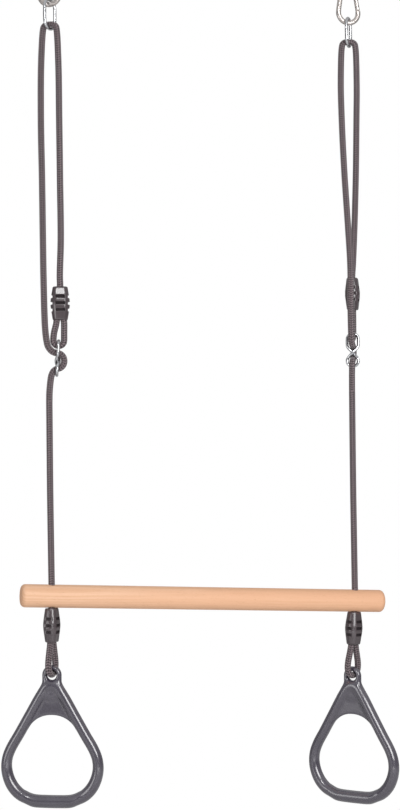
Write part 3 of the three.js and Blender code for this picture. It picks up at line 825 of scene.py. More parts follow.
def carved(thing, cutters, edge=0.0):
    """Cuts the cutters out of the object, then rounds the edges by that much."""
    for parts in cutters:
        cutter = mesh_object("cutter", *parts)
        cut = thing.modifiers.new("cut", "BOOLEAN")
        cut.operation = "DIFFERENCE"
        cut.object = cutter
        with_modifiers(thing)
        bpy.data.objects.remove(cutter)
    if edge:
        bevel = thing.modifiers.new("edges", "BEVEL")
        bevel.width = edge
        bevel.segments = 2
        bevel.limit_method = "ANGLE"
        bevel.angle_limit = math.radians(40)
        with_modifiers(thing)
    thing.data.shade_smooth()
    thing.data.set_sharp_from_angle(angle=math.radians(35))
    return thing


print("a drill has", len(rod_parts(bar.bore / 2, 0, 1)[1]), "faces")

# %% Drill and place the bar
wooden_bar = mesh_object("turned_bar", *bar_parts())
hole_cutters = []
for end in (-1, 1):
    cutter = rod_parts(bar.bore / 2, -bar.diameter, bar.diameter, 48)
    hole_cutters.append(moved(cutter, shifted(end * hole_spacing / 2, 0, 0)))
carved(wooden_bar, hole_cutters)
bar_mesh = wooden_bar.data
loop_normals = []
for face in bar_mesh.polygons:
    for vertex in face.vertices:
        loop_normals.append(bar_normal(bar_mesh.vertices[vertex].co, face.normal))
bar_mesh.normals_split_custom_set(loop_normals)
middle_height = (left.bar_height + right.bar_height) / 2
wooden_bar.matrix_world = shifted(hook_spacing / 2, 0, middle_height) @ turned_about("Y", bar_tilt)
stand_for(wooden_bar, "bar", wood_finish)
print("bar", len(bar_mesh.polygons), "faces")

# %% [markdown]
# ## Metal
# The snap hooks are nickel plated and a little warm; the links, the figure-8 adjusters and the small
# parts inside the gates are chromed. An even mirror would be the simplest metal and looks false. Real
# plating has faint smears and fine pits, which here vary its colour, roughness and relief a little.

# %% Plated metals
def metal_material(name, colour, worn, roughness, smear):
    """A plated metal that is worn and duller where it is smeared."""
    material, tree, shader = new_material(name, colour, roughness, metallic=1.0)
    place = local_place(tree)
    smears = noise(stretched(place, 120, 120, 45), 1, 4, 0.6)
    pits = noise(place, 1600, 2).between(0.68, 0.78)
    haze = smears.between(0.4, 0.75)
    feed(blended(haze * 0.6 + pits * 0.3, colour, worn), shader.inputs["Base Color"])
    feed(roughness + smear * haze + 0.1 * pits, shader.inputs["Roughness"])
    feed(relief(smears * 0.4 - pits, 0.00001, 0.3), shader.inputs["Normal"])
    return material


chrome_finish = metal_material(
    "chrome", linear(208, 209, 212), worn=linear(184, 185, 188), roughness=0.18, smear=0.12
)
nickel_finish = metal_material(
    "nickel", linear(218, 211, 207), worn=linear(190, 182, 177), roughness=0.3, smear=0.14
)
print("chrome", len(chrome_finish.node_tree.nodes), "nodes")

# %% [markdown]
# ### Snap hooks
# A pear-shaped wire, open on its right, with a sprung gate that closes it. The wire ends in two flat
# tongues: one is the gate's hinge, and the gate's slot falls over the other. One boolean union could
# fuse wire and tongues. They are left as closed shapes that run into each other in one mesh, because
# that looks the same and never fails.

# %% Work out the hook's shape
wire_radius = hook.wire / 2
narrow_centre = wire_radius - hook.narrow_radius
wide_centre = hook.wire - hook.height + wire_radius + hook.wide_radius
centre_distance = narrow_centre - wide_centre
side_lean = math.asin((hook.wide_radius - hook.narrow_radius) / centre_distance)
side_length = centre_distance * math.cos(side_lean)
side_up = Vector((-math.sin(side_lean), 0, math.cos(side_lean)))
side_top = Vector((math.cos(side_lean), 0, math.sin(side_lean))) * hook.narrow_radius
side_top.z += narrow_centre
gate_pin = side_top - side_up * gate.pin_inset
ear_radius = gate.diameter / 2
end_clearance = 0.0005
slot_width = tongue.thickness + 2 * tongue.gap
hinge_slack = 0.001
hinge_slot_depth = tongue.width / 2 + hinge_slack
nose_below_pin = side_length - gate.pin_inset - hook.nose_rise
gate_length = nose_below_pin - end_clearance
in_gate_frame = shifted(*gate_pin) @ turned_about("Y", -side_lean)
print("hook sides lean", round(math.degrees(side_lean), 2), "degrees; gate", round(gate_length, 4), "long")

# %% Shape the hook's wire
wire_step = 0.0012
wire_end_round = 0.0008


def block_parts(low, high):
    points = [(x, y, z) for x in (low[0], high[0]) for y in (low[1], high[1]) for z in (low[2], high[2])]
    faces = [(0, 1, 3, 2), (4, 6, 7, 5), (0, 4, 5, 1), (2, 3, 7, 6), (0, 2, 6, 4), (1, 5, 7, 3)]
    return points, faces


def joined(name, parts, smooth_angle=40):
    """One object from several lists of points and faces."""
    points, faces = [], []
    for some_points, some_faces in parts:
        start = len(points)
        points.extend(some_points)
        faces.extend(tuple(start + i for i in face) for face in some_faces)
    return mesh_object(name, points, faces, smooth_angle)


def along_y(parts):
    return moved(parts, turned_about("X", math.pi / 2))


def hook_object(name):
    """The pear-shaped wire with its hinge tongue and its nose tongue."""
    lean = math.degrees(side_lean)
    hinge_end = gate_pin + side_up * (ear_radius + end_clearance)
    narrow = arc_places(0, narrow_centre, hook.narrow_radius, lean, 180 - lean, 8)
    wide = arc_places(0, wide_centre, hook.wide_radius, 180 - lean, 360 + lean, 12)
    nose = Vector(wide[-1]) + side_up * hook.nose_rise
    line = smooth_line([tuple(hinge_end), *narrow, *wide, tuple(nose)], wire_step)
    wire = tube_parts(line, wire_radius, 28, end_round=wire_end_round)
    half, thick = tongue.width / 2, tongue.thickness / 2
    root = ear_radius + end_clearance + wire_radius / 2
    hinge = moved(block_parts((-half, -thick, 0), (half, thick, root)), in_gate_frame)
    knuckle = moved(along_y(rod_parts(half, -thick, thick, 40)), in_gate_frame)
    nose_low = -nose_below_pin - wire_radius / 2
    nose_high = tongue.nose_length - nose_below_pin - half
    nose_plate = moved(block_parts((-half, -thick, nose_low), (half, thick, nose_high)), in_gate_frame)
    tip = moved(along_y(rod_parts(half, -thick, thick, 40)), in_gate_frame @ shifted(0, 0, nose_high))
    return joined(name, [wire, hinge, knuckle, nose_plate, tip])


print("the wire has a ring of points each", wire_step * 1000, "mm")

# %% [markdown]
# ### Gate and spring
# The gate is a round bar with a slot at each end and a bore down its middle, where a spring presses a
# plunger against the hook. They could be left out of a picture this small, but the gate opens, and its
# slots and its bore are then seen. So they are real cuts, and the spring is a real coil.

# %% Shape the gate
nose_slot_depth = 0.006
gate_edge = 0.0004
slot_edge = 0.0002


def gate_object(name):
    """A round bar with a slot at each end, a round top and a bore for the spring."""
    levels = [-gate_length, -gate_length + gate_edge, -gate_length / 2, -ear_radius, 0]
    levels += [ear_radius * math.sin(math.radians(angle)) for angle in (15, 30, 45, 60, 72, 82)]
    radii = [ear_radius - gate_edge] + [ear_radius] * (len(levels) - 1)
    points, faces = tube_parts(np.array([(0, 0, z) for z in levels]), radii, 40)
    above_pin = np.maximum(points[:, 2], 0)
    reach = np.sqrt(ear_radius**2 - above_pin**2)
    points[:, 0] = np.clip(points[:, 0], -reach, reach)
    thing = mesh_object(name, points, faces, 40)
    wide, thick, deep = gate.diameter, slot_width / 2, gate.diameter
    hinge_slot = block_parts((-wide, -thick, -hinge_slot_depth), (wide, thick, deep))
    nose_top = nose_slot_depth - gate_length
    nose_slot = block_parts((-wide, -thick, -gate_length - deep), (wide, thick, nose_top))
    bore = rod_parts(gate.bore / 2, -hinge_slot_depth - gate.bore_depth, 0, 32)
    pin_hole = along_y(rod_parts(gate.pin / 2 + running_gap, -wide, wide, 32))
    carved(thing, [hinge_slot, nose_slot, bore, pin_hole], slot_edge)
    return thing


print("the gate's slots are", round(slot_width * 1000, 2), "mm wide")

# %% Coil the spring
coil = Sizes(turns=9, wire=0.0006, steps=16)
inner_radius = gate.bore / 2 - running_gap
plunger_length = 0.004
plunger_top = -tongue.width / 2 - running_gap
plunger_bottom = plunger_top - plunger_length
coil_bottom = -hinge_slot_depth - gate.bore_depth + running_gap


def tube_object(name, line, radius, count, closed=False):
    points, faces = tube_parts(line, radius, count, closed)
    return mesh_object(name, points, faces, 50)


def spring_object(name, low, high):
    """A real coil inside the gate's bore."""
    angles = np.linspace(0, 2 * math.pi * coil.turns, coil.turns * coil.steps + 1)
    half_wire = coil.wire / 2
    radius = inner_radius - half_wire
    heights = np.linspace(low + half_wire, high - half_wire, len(angles))
    line = np.stack([radius * np.cos(angles), radius * np.sin(angles), heights], axis=1)
    return tube_object(name, line, half_wire, 8)


print("the coil is", round((plunger_bottom - running_gap - coil_bottom) * 1000, 2), "mm long")

# %% Put the hooks together
for side in sides:
    frame_of_hook = at_side(side, 0, side.hook_turn)
    body = hook_object(f"hook_wire_{side.name}")
    body.matrix_world = frame_of_hook
    stand_for(body, f"carabiner_body_{side.name}", nickel_finish)
    shutter = gate_object(f"hook_gate_{side.name}")
    rivet = along_y(rod_parts(gate.pin / 2, -ear_radius, ear_radius))
    rivet = mesh_object(f"rivet_{side.name}", *rivet, 40)
    spring = spring_object(f"coil_{side.name}", coil_bottom, plunger_bottom - running_gap)
    plunger = mesh_object(f"plunger_{side.name}", *rod_parts(inner_radius, plunger_bottom, plunger_top), 40)
    inner = {"gate_pin": rivet, "gate_spring": spring, "gate_plunger": plunger}
    shutter.matrix_world = frame_of_hook @ in_gate_frame
    stand_for(shutter, f"carabiner_gate_{side.name}", nickel_finish)
    for node, thing in inner.items():
        thing.matrix_world = frame_of_hook @ in_gate_frame
        stand_for(thing, f"{node}_{side.name}", chrome_finish)
    print(side.name, "hook", len(body.data.polygons), "faces; gate", len(shutter.data.polygons))

# %% [markdown]
# ### Oval links and figure-8 adjusters
# Both are bent from round wire. A torus could be stretched into the oval, but its wire would be
# stretched with it. A tube along the bent line stays round. In the figure-8 one strand of the crossing
# passes in front of the other, and the link has the faint swell of its weld.

# %% Bend the links and the figure-8s
weld_swell = 0.05
weld_reach = 0.0022
link_step = 0.0011
eight_step = 0.001


def link_object(name):
    """An oval of round wire, with the faint swell of its weld in the middle of one side."""
    radius = (link.width - link.wire) / 2
    upper = arc_places(0, link_top - radius, radius, 0, 180, 10)
    lower = arc_places(0, link_bottom + radius, radius, 180, 360, 10)
    line = smooth_line(upper + lower, link_step, closed=True)
    weld = np.array((-radius, 0, (link_top + link_bottom) / 2))
    near = np.linalg.norm(line - weld, axis=1) / weld_reach
    radii = link.wire / 2 * (1 + weld_swell * np.exp(-(near**2)))
    return tube_object(name, line, radii, 24, closed=True)


def eight_object(name):
    """One wire bent into two loops, one strand of the crossing in front of the other."""
    radius = (eight.width - eight.wire) / 2
    top = eight.above - eight.wire / 2 - radius
    middle = eight.below - eight.wire / 2 - radius
    slant = math.asin(radius / middle)
    tangent = middle * math.cos(slant) ** 2
    half = math.tan(slant) * tangent / 2
    degrees = math.degrees(slant)
    places = arc_places(0, top, radius, 90, 0, 5) + arc_places(0, middle, radius, 0, -degrees, 3)
    places += [(half, 0, tangent / 2), (0, 0, 0), (-half, 0, -tangent / 2)]
    places += arc_places(0, -middle, radius, 180 - degrees, 270, 7)
    depth = (eight.wire + running_gap) / 2

    def offset(z):
        return depth * math.cos(math.pi / 2 * min(1, abs(z) / eight.reach)) ** 2

    front = [(-offset(z), -x, z) for x, _, z in places]
    rear = [(offset(z), x, z) for x, _, z in places[1:-1]]
    line = smooth_line(front + rear[::-1], eight_step, closed=True)
    return tube_object(name, line, eight.wire / 2, 24, closed=True)


for side in sides:
    oval = link_object(f"oval_wire_{side.name}")
    oval.matrix_world = at_side(side, 0, side.link_turn)
    stand_for(oval, f"oval_link_{side.name}", chrome_finish)
    bent = eight_object(f"eight_wire_{side.name}")
    lean = shifted(eight.out, 0, 0) @ turned_about("Y", math.radians(eight.lean))
    bent.matrix_world = at_side(side, side.waist, side.adjuster_turn) @ lean
    stand_for(bent, f"adjuster_eight_{side.name}", chrome_finish)
    print(side.name, "link", len(oval.data.polygons), "faces; eight", len(bent.data.polygons))

# %% [markdown]
# ## Plastic
# Clamps and rings are moulded from dark grey plastic, the clamps satin and the rings glossy. One shader
# with a low roughness would make them look wet all over. A duller body under a clear coat gives soft
# shading and sharp streaks at once, as moulded plastic does. Deep in the slots, painted shade darkens
# the colour, and the slots have no coat.

# %% Moulded plastics
def painted_slot_shade(place):
    """1 deep in a clamp's slots, where shade is painted into the colour, and 0 on its outside."""
    x, y, z = apart(place)
    from_middle = abs(z - clamp.length / 2)
    in_outer = abs(from_middle - groove.pitch).between(groove.width / 2, groove.width / 2 - 0.0004)
    in_middle = from_middle.between(groove.width / 2, groove.width / 2 - 0.0004)
    reach = ((x / (clamp.broad / 2)) ** 2 + (y / (clamp.narrow / 2)) ** 2) ** 0.5
    return (in_outer + in_middle) * reach.between(0.97, 0.86)


def plastic_material(name, colour, faded, roughness, grain_distance, coat, slots=False):
    """A moulded plastic, a little faded in clouds and where hands rub it."""
    material, tree, shader = new_material(name, colour, roughness, coat=coat, gloss=1.8)
    place = local_place(tree)
    clouds = noise(place, 45, 3)
    grain = noise(place, 1100, 2)
    rubbed = noise(stretched(place, 60, 60, 260), 1, 5, 0.65).between(0.56, 0.72)
    body = blended(clouds.between(0.3, 0.75) * 0.7 + rubbed * 0.3, colour, faded)
    rough = roughness + 0.1 * rubbed + 0.05 * clouds
    # Painted shade: deep in the slots the colour is darkened, where shade falls in a recess.
    if slots:
        shade = painted_slot_shade(place)
        body = blended(shade * 0.56, body, linear(16, 12, 14))
        rough = rough + 0.6 * shade
        feed(coat - coat * shade, shader.inputs["Coat Weight"])
    feed(body, shader.inputs["Base Color"])
    feed(rough, shader.inputs["Roughness"])
    feed(relief(grain + 0.6 * clouds, grain_distance, 0.3), shader.inputs["Normal"])
    return material


clamp_finish = plastic_material(
    "clamp_plastic", linear(65, 55, 59), faded=linear(79, 68, 72), roughness=0.3,
    grain_distance=0.00003, coat=0.5, slots=True,
)
ring_finish = plastic_material(
    "ring_plastic", linear(62, 57, 70), faded=linear(71, 66, 79), roughness=0.26,
    grain_distance=0.00001, coat=1.0,
)
print("clamp plastic", len(clamp_finish.node_tree.nodes), "nodes")

# %% [markdown]
# ### Rope clamps
# A clamp is an oval barrel in two half shells. Three slots lie above one another in its front, in its
# rear and in each side, with plain spines between. The slots could be cut out by booleans, which leaves
# ragged faces on the curved wall. Instead each half is built level by level: at every height its
# section is a bow, with the outside on one edge and the rope's passage on the other.

# %% Levels of a shell
barrel_shares = [(0, 0.94), (0.04, 1), (0.17, 1.09), (0.31, 1.19), (0.42, 1.25), (0.5, 1.266)]
mouth_round = 0.0006
slot_round = 0.0004
slot_margin = 0.0006
level_step = 0.0015
level_margin = 0.001
passage_step = 1e-5
wall_step = 1e-6


def rounding(depth, radius):
    """How far a surface falls back at a depth in from a rounded edge."""
    inside = min(max(1 - depth / radius, 0), 1)
    return radius * (1 - math.sqrt(1 - inside**2))


def slot_edges():
    """The lower and upper edge of each slot."""
    middles = [clamp.length / 2 + step * groove.pitch for step in (-1, 0, 1)]
    return [(m - groove.width / 2, m + groove.width / 2) for m in middles]


def shell_levels():
    """Heights of the sections, each with whether it lies in a slot."""
    levels = [(z, False) for z in (0, 0.00015, 0.0004, mouth_round)]
    levels += [(clamp.length - z, False) for z, _ in levels]
    levels += [(z, False) for z in np.arange(2 * level_margin, clamp.length - level_margin, level_step)]
    split = clamp.length - passage.single_length
    levels += [(split - passage_step, False), (split + passage_step, False)]
    for low, high in slot_edges():
        levels = [(z, flag) for z, flag in levels if not low - slot_round < z < high + slot_round]
        for edge, way in ((low, -1), (high, 1)):
            levels += [(edge + way * d, False) for d in (0, 0.3 * slot_round, slot_round)]
            levels.append((edge - way * wall_step, True))
        levels += [(z, True) for z in np.linspace(low + slot_margin, high - slot_margin, 4)]
    return sorted(levels)


print(len(shell_levels()), "levels")

# %% Columns of a shell
def column_places():
    """Shares of the half width where the columns of points stand, from one side to the other."""
    floor_share = 1 - 2 * groove.notch / clamp.broad
    window_share = groove.window / clamp.broad
    edge_share = window_share + 2 * slot_round / clamp.broad
    side_columns = [math.cos(a) for a in np.linspace(0, math.acos(floor_share), 9)]
    spine = list(np.linspace(floor_share, edge_share, 8)[1:])
    window = list(np.linspace(window_share, 0, 7))
    half = side_columns + spine + window
    return half + [-share for share in reversed(half[:-1])]


columns = column_places()
shell_steps = len(columns) - 1
print(len(columns), "columns")

# %% One section of the half shell
fullness = 2.25
passage_spread = 1.6


def barrel_share(height):
    """How broad the barrel is at a height, as a share of its nominal breadth."""
    share = min(height, clamp.length - height) / clamp.length
    return clamp.end_share * np.interp(share, *zip(*barrel_shares))


def shell_section(height, slotted):
    """The outside and the passage of the half on the +Y side, as two rows of points."""
    share = barrel_share(height)
    fall = rounding(min(height, clamp.length - height), mouth_round)
    half_broad = clamp.broad / 2 * share - fall
    half_narrow = clamp.narrow / 2 * share - fall
    slot_floor = clamp.narrow / 2 - groove.depth
    side_floor = clamp.broad / 2 - groove.notch
    window = groove.window / 2
    panel = half_narrow * (1 - (window / half_broad) ** fullness) ** (1 / fullness)
    near_slot = min(max(low - height, height - high) for low, high in slot_edges())
    back = 0 if slotted else rounding(max(near_slot, 0), slot_round)
    outside, inside = [], []
    shift = passage.offset if height < clamp.length - passage.single_length else 0
    opened = passage.radius + rounding(min(height, clamp.length - height), mouth_round)
    for step, place in enumerate(columns):
        in_window = abs(place) * clamp.broad < groove.window + wall_step
        if in_window:
            x, y = place * clamp.broad / 2, panel
        else:
            x = place * half_broad
            y = half_narrow * max(1 - abs(place) ** fullness, 0) ** (1 / fullness)
        if in_window and slotted:
            y = slot_floor
        elif in_window:
            y = max(slot_floor, y - back)
        elif slotted:
            x = math.copysign(min(abs(x), side_floor), x)
        elif abs(x) > side_floor:
            x = math.copysign(max(abs(x) - back, side_floor), x)
        outside.append((x, max(y, running_gap / 2), height))
        angle = math.pi * step / shell_steps
        spread = shift * min(max(passage_spread * math.cos(angle), -1), 1)
        across = max(opened * math.sin(angle), running_gap / 2)
        inside.append((spread + opened * math.cos(angle), across, height))
    return outside, inside


widest = shell_section(clamp.length / 2, False)[0][0][0]
print("at half height the half shell is", round(2 * widest, 4), "wide")

# %% Join the sections into a shell
def shell_mesh():
    """The half shell: outside, passage, the two seams and the two end faces."""
    rows = [shell_section(z, slotted) for z, slotted in shell_levels()]
    count = shell_steps + 1
    points = [p for outside, inside in rows for p in outside + inside]
    faces = []
    for i in range(len(rows) - 1):
        near, far = 2 * count * i, 2 * count * (i + 1)
        for k in range(shell_steps):
            faces.append((near + k, near + k + 1, far + k + 1, far + k))
            inner = near + count + k, far + count + k
            faces.append((inner[0] + 1, inner[0], inner[1], inner[1] + 1))
        for k in (0, shell_steps):
            seam = (near + k, far + k, far + count + k, near + count + k)
            faces.append(seam if k == 0 else seam[::-1])
    for start, flip in ((0, True), (2 * count * (len(rows) - 1), False)):
        for k in range(shell_steps):
            cap = (start + k, start + k + 1, start + count + k + 1, start + count + k)
            faces.append(cap if not flip else cap[::-1])
    return mesh_object("clamp_shell", points, faces, 38)


shell = shell_mesh()
print("clamp shell", len(shell.data.polygons), "faces")

# %% Close the clamps
half_turn = turned_about("Z", math.pi)


def clamp_pair(side, level, matrix):
    """Two half shells about one axis. They share their mesh."""
    for half, turn in (("rear", Matrix.Identity(4)), ("front", half_turn)):
        piece = in_scene(f"{level}_shell_{half}_{side.name}", shell.data)
        piece.matrix_world = matrix @ turn
        stand_for(piece, f"{level}_clamp_{half}_{side.name}", clamp_finish)


for side in sides:
    upright = at_side(side, side.clamp_bottom, side.adjuster_turn) @ shifted(clamp_centre, 0, 0)
    clamp_pair(side, "upper", upright)
    clamp_pair(side, "lower", lower_mouth(side))
bpy.data.objects.remove(shell)

# %% [markdown]
# ## Hand rings
# The ring is one moulding: a thick bead, a thin web between its arms, a straight grip and a lug with an
# eye. Joined by booleans they would meet in hard seams, and bevels fail where so many surfaces meet.
# So each form is written as a distance to its surface, negative inside, and a soft minimum of two
# distances lets two forms run into each other with a fillet.

# %% The bead's line
ring_outline_shares = [
    (0, 0.049, 1, 1), (0.283, 0.053, 1, 1), (0.51, 0.068, 1, 1), (0.694, 0.098, 0.985, 1),
    (0.843, 0.148, 0.949, 1), (0.949, 0.216, 0.903, 0.985), (1, 0.296, 0.851, 0.964),
    (0.983, 0.371, 0.821, 0.944), (0.907, 0.442, 0.821, 0.923), (0.715, 0.557, 0.821, 0.923),
    (0.482, 0.7, 0.821, 0.923), (0.248, 0.843, 0.821, 0.923), (0.135, 0.901, 0.769, 0.821),
    (0, 0.923, 0.718, 0.769),
]
web_apex, web_shoulder, web_foot = (0, 0.913), (0.482, 0.7), (0.652, 0.595)
arch_foot, arch_bend, arch_top = (0.53, 0.595), (0.34, 0.7), (0, 0.7)
fillet = Sizes(web=0.0014, lug=0.005, edge=0.0015, lug_edge=0.0036, eye=0.0026, grip=0.001)
straight_grip = Sizes(half_length=0.046, end_round=0.003, arm_share=0.87, arm_reach=0.05)
grip_bend = Sizes(start=0.031, slope=0.55, ease=0.006)
ring_step = 0.0012
evened_over = 4


def ring_place(share):
    return np.array((share[0] * ring.half_across, share[1] * ring.eye_height))


def ring_stations():
    """The bead's centre line with its half width and half depth, closed on itself."""
    half = [(*ring_place(s), s[2] * ring.grip / 2, s[3] * ring.grip / 2) for s in ring_outline_shares]
    mirrored = [(-x, z, wide, deep) for x, z, wide, deep in reversed(half[1:-1])]
    stations = np.array(half + mirrored)
    flat = [(x, 0, z) for x, z, _, _ in stations]
    line = smooth_line(flat, ring_step, closed=True)[:, (0, 2)]
    ends = np.vstack([stations, stations[:1]])
    chords = np.linalg.norm(np.diff(ends[:, :2], axis=0), axis=1)
    spans = [max(1, round(float(chord) / ring_step)) for chord in chords]
    marks = np.concatenate([[0], np.cumsum(spans)])
    steps = np.arange(marks[-1])
    sizes = [np.interp(steps, marks, ends[:, column]) for column in (2, 3)]
    soft = np.ones(2 * evened_over + 1) / (2 * evened_over + 1)
    sizes = [np.concatenate([s[-evened_over:], s, s[:evened_over]]) for s in sizes]
    sizes = [np.convolve(s, soft, "valid") for s in sizes]
    near_grip = (line[:, 1] < ring.eye_height / 4) * np.exp(-((line[:, 0] / straight_grip.arm_reach) ** 4))
    return line, np.stack(sizes, axis=1) * (1 - (1 - straight_grip.arm_share) * near_grip)[:, None]


bead_line, bead_sizes = ring_stations()
bead_ahead = directions(bead_line, True)
print("bead line", len(bead_line), "points,", round(float(lengths_along(bead_line)[-1]), 3), "m")

# %% Distance to the bead
def soft_max(a, b, radius):
    """The larger of two distances, with a rounded edge of that radius between them."""
    gap = np.maximum(radius - np.abs(a - b), 0) / radius
    return np.maximum(a, b) + gap * gap * radius / 4


def soft_min(a, b, radius):
    """The smaller of two distances, with a fillet between them."""
    return -soft_max(-a, -b, radius)


def bead_distance(points):
    """How far points lie from the bead, whose section is an ellipse that changes along its line."""
    flat = points[:, (0, 2)]
    nearest = np.empty(len(flat), int)
    batch = 4000
    for start in range(0, len(flat), batch):
        part = flat[start : start + batch]
        away = ((part[:, None] - bead_line[None]) ** 2).sum(axis=2)
        nearest[start : start + batch] = away.argmin(axis=1)
    count = len(bead_line)
    spacing = np.linalg.norm(np.roll(bead_line, -1, axis=0) - bead_line, axis=1)
    along = ((flat - bead_line[nearest]) * bead_ahead[nearest]).sum(axis=1)
    step = nearest + np.clip(along / spacing[nearest], -1, 1)
    low = np.floor(step).astype(int)
    share = (step - low)[:, None]
    low, high = low % count, (low + 1) % count
    centre = bead_line[low] * (1 - share) + bead_line[high] * share
    ahead = bead_ahead[low] * (1 - share) + bead_ahead[high] * share
    half = bead_sizes[low] * (1 - share) + bead_sizes[high] * share
    away = flat - centre
    across = (away[:, 0] * ahead[:, 1] - away[:, 1] * ahead[:, 0]) / np.linalg.norm(ahead, axis=1)
    reach = np.hypot(across / half[:, 0], points[:, 1] / half[:, 1])
    return (reach - 1) * half.min(axis=1)


on_line = np.array([(0, 0, bead_line[0][1])])
print("on its own line the bead's surface is", round(float(bead_distance(on_line)[0]) * 1000, 2), "mm away")

# %% Distance to the grip and to the web
def grip_distance(points):
    """The grip is a straight bar whose ends bend up a little. It is proud of the bead below."""
    radius = ring.grip / 2
    past = np.abs(points[:, 0]) - grip_bend.start
    lift = grip_bend.slope * (past + np.hypot(past, grip_bend.ease)) / 2
    centre = ring_place(ring_outline_shares[0])[1] + lift
    round_bar = np.hypot(points[:, 1], points[:, 2] - centre) - radius
    ends = np.abs(points[:, 0]) - straight_grip.half_length
    return soft_max(round_bar, ends, straight_grip.end_round * 2)


def arch_curve(count):
    """Places along half of the web's arched lower edge, from its foot to its top."""
    foot, bend, top = (ring_place(share) for share in (arch_foot, arch_bend, arch_top))
    t = np.linspace(0, 1, count)[:, None]
    return foot * (1 - t) ** 2 + 2 * bend * t * (1 - t) + top * t**2


def arch_distance(flat):
    """How far a place lies below the arched edge of the web; places above it are negative."""
    curve = arch_curve(60)
    near = ((flat[:, None] - curve[None]) ** 2).sum(axis=2)
    away = np.sqrt(near.min(axis=1))
    height = np.interp(flat[:, 0], curve[::-1, 0], curve[::-1, 1])
    below = flat[:, 1] < height
    return np.where(below, away, -away)


def web_distance(points):
    """The web is a flat plate between the arms, arched below."""
    flat = np.stack([np.abs(points[:, 0]), points[:, 2]], axis=1)
    apex, shoulder, foot = (ring_place(share) for share in (web_apex, web_shoulder, web_foot))
    edges = []
    for start, end in ((apex, shoulder), (shoulder, foot)):
        along = (end - start) / np.linalg.norm(end - start)
        edges.append((flat - start) @ np.array((-along[1], along[0])))
    outline = np.maximum(np.maximum(*edges), foot[1] - flat[:, 1])
    outline = np.maximum(outline, arch_distance(flat))
    return soft_max(outline, np.abs(points[:, 1]) - ring.web / 2, fillet.edge)


print("the web's arch rises to", round(float(arch_curve(2)[-1][1]), 4))

# %% Distance to the whole ring
def lug_distance(points):
    """The lug is a plate round the eye, with a straight neck below it."""
    height = np.clip(points[:, 2], ring.eye_height - lug.foot_below_eye, ring.eye_height)
    outline = np.hypot(points[:, 0], points[:, 2] - height) - lug.width / 2
    return soft_max(outline, np.abs(points[:, 1]) - lug.depth / 2, fillet.lug_edge * 2)


def ring_distance(points):
    """All forms run together, less the eye."""
    body = soft_min(bead_distance(points), grip_distance(points), fillet.grip)
    body = soft_min(body, web_distance(points), fillet.web)
    body = soft_min(body, lug_distance(points), fillet.lug)
    eye = ring.eye / 2 - np.hypot(points[:, 0], points[:, 2] - ring.eye_height)
    return soft_max(body, eye, fillet.eye * 2)


below_eye = np.array([(0, 0, ring.eye_height - ring.eye)])
print("below the eye the surface is", round(float(ring_distance(below_eye)[0]) * 1000, 2), "mm away")

# %% [markdown]
# ### Moulding
# A mesh could be marched cell by cell through the distances, with more code. It is easier to wrap a
# coarse skin round overlapping forms with the voxel remesher, and to slide each point of the skin along
# the slope of the distance until it lies on the exact surface. The slope is also the surface's normal,
# so the reflections run as smoothly as on a real moulding.

# %% Wrap the skin
skin_size = 0.0012
skin_inset = 0.0005


def rough_ring():
    """Closed pieces that overlap: a tube, a plate for the web and one for the lug."""
    line = np.stack([bead_line[:, 0], np.zeros(len(bead_line)), bead_line[:, 1]], axis=1)
    bead = tube_parts(line[::3], bead_sizes[::3].min(axis=1), 20, closed=True)
    places = [ring_place(s) for s in (web_apex, web_shoulder, web_foot)] + list(arch_curve(14))
    mirrored = [np.array((-x, z)) for x, z in reversed(places[1:-1])]
    outline = places + mirrored
    half = ring.web / 2
    count = len(outline)
    points = [(x, y, z) for y in (-half, half) for x, z in outline]
    faces = [(i, (i + 1) % count, (i + 1) % count + count, i + count) for i in range(count)]
    plate = (points, faces + [tuple(reversed(range(count))), tuple(range(count, 2 * count))])
    low = ring.eye_height - lug.foot_below_eye
    reach = lug.width / 2 - 2 * skin_inset
    disc = moved(along_y(rod_parts(reach, -lug.depth / 2, lug.depth / 2, 48)), shifted(0, 0, ring.eye_height))
    neck = block_parts((-reach, -lug.depth / 2, low), (reach, lug.depth / 2, ring.eye_height))
    reach = straight_grip.half_length / 2
    grip = moved(rod_parts(ring.grip / 2 - skin_inset, -reach, reach), turned_about("Y", math.pi / 2))
    grip = moved(grip, shifted(0, 0, ring_place(ring_outline_shares[0])[1]))
    return joined("ring_skin", [bead, plate, disc, neck, grip])


def voxel_skin(thing):
    """Wraps one even skin round the pieces of a mesh, once its modifiers are applied."""
    remesh = thing.modifiers.new("skin", "REMESH")
    remesh.mode = "VOXEL"
    remesh.voxel_size = skin_size


print("the skin has voxels of", skin_size * 1000, "mm")

# %% Slide the skin onto the surface
fine_step = 2e-5
broad_step = 2e-4


def slope_of_ring(points, small):
    """How fast the distance grows along each axis."""
    steps = small * np.eye(3)
    rises = [ring_distance(points + step) - ring_distance(points - step) for step in steps]
    return np.stack(rises, axis=1) / (2 * small)


def onto_surface(points, rounds):
    """Slides the points along the slope of the distance until they lie on the surface."""
    for _ in range(rounds):
        slope = slope_of_ring(points, fine_step)
        steepness = np.maximum((slope**2).sum(axis=1), 0.05)
        points = points - slope * (ring_distance(points) / steepness)[:, None]
    return points


def settled(thing, rounds):
    """Evens a mesh out, puts its points back on the ring's surface, and returns them."""
    relax = thing.modifiers.new("relax", "SMOOTH")
    relax.iterations = rounds
    with_modifiers(thing)
    points = onto_surface(np.array([v.co for v in thing.data.vertices]), 4)
    thing.data.vertices.foreach_set("co", points.ravel())
    return points


def evened(normals, mesh, rounds):
    """Unit normals, each averaged with its neighbours' several times over."""
    ends = np.empty(2 * len(mesh.edges), int)
    mesh.edges.foreach_get("vertices", ends)
    first, second = ends.reshape(-1, 2).T
    for _ in range(rounds):
        normals = normals / np.linalg.norm(normals, axis=1, keepdims=True)
        total = normals.copy()
        np.add.at(total, first, normals[second])
        np.add.at(total, second, normals[first])
        normals = total
    return normals / np.linalg.norm(normals, axis=1, keepdims=True)


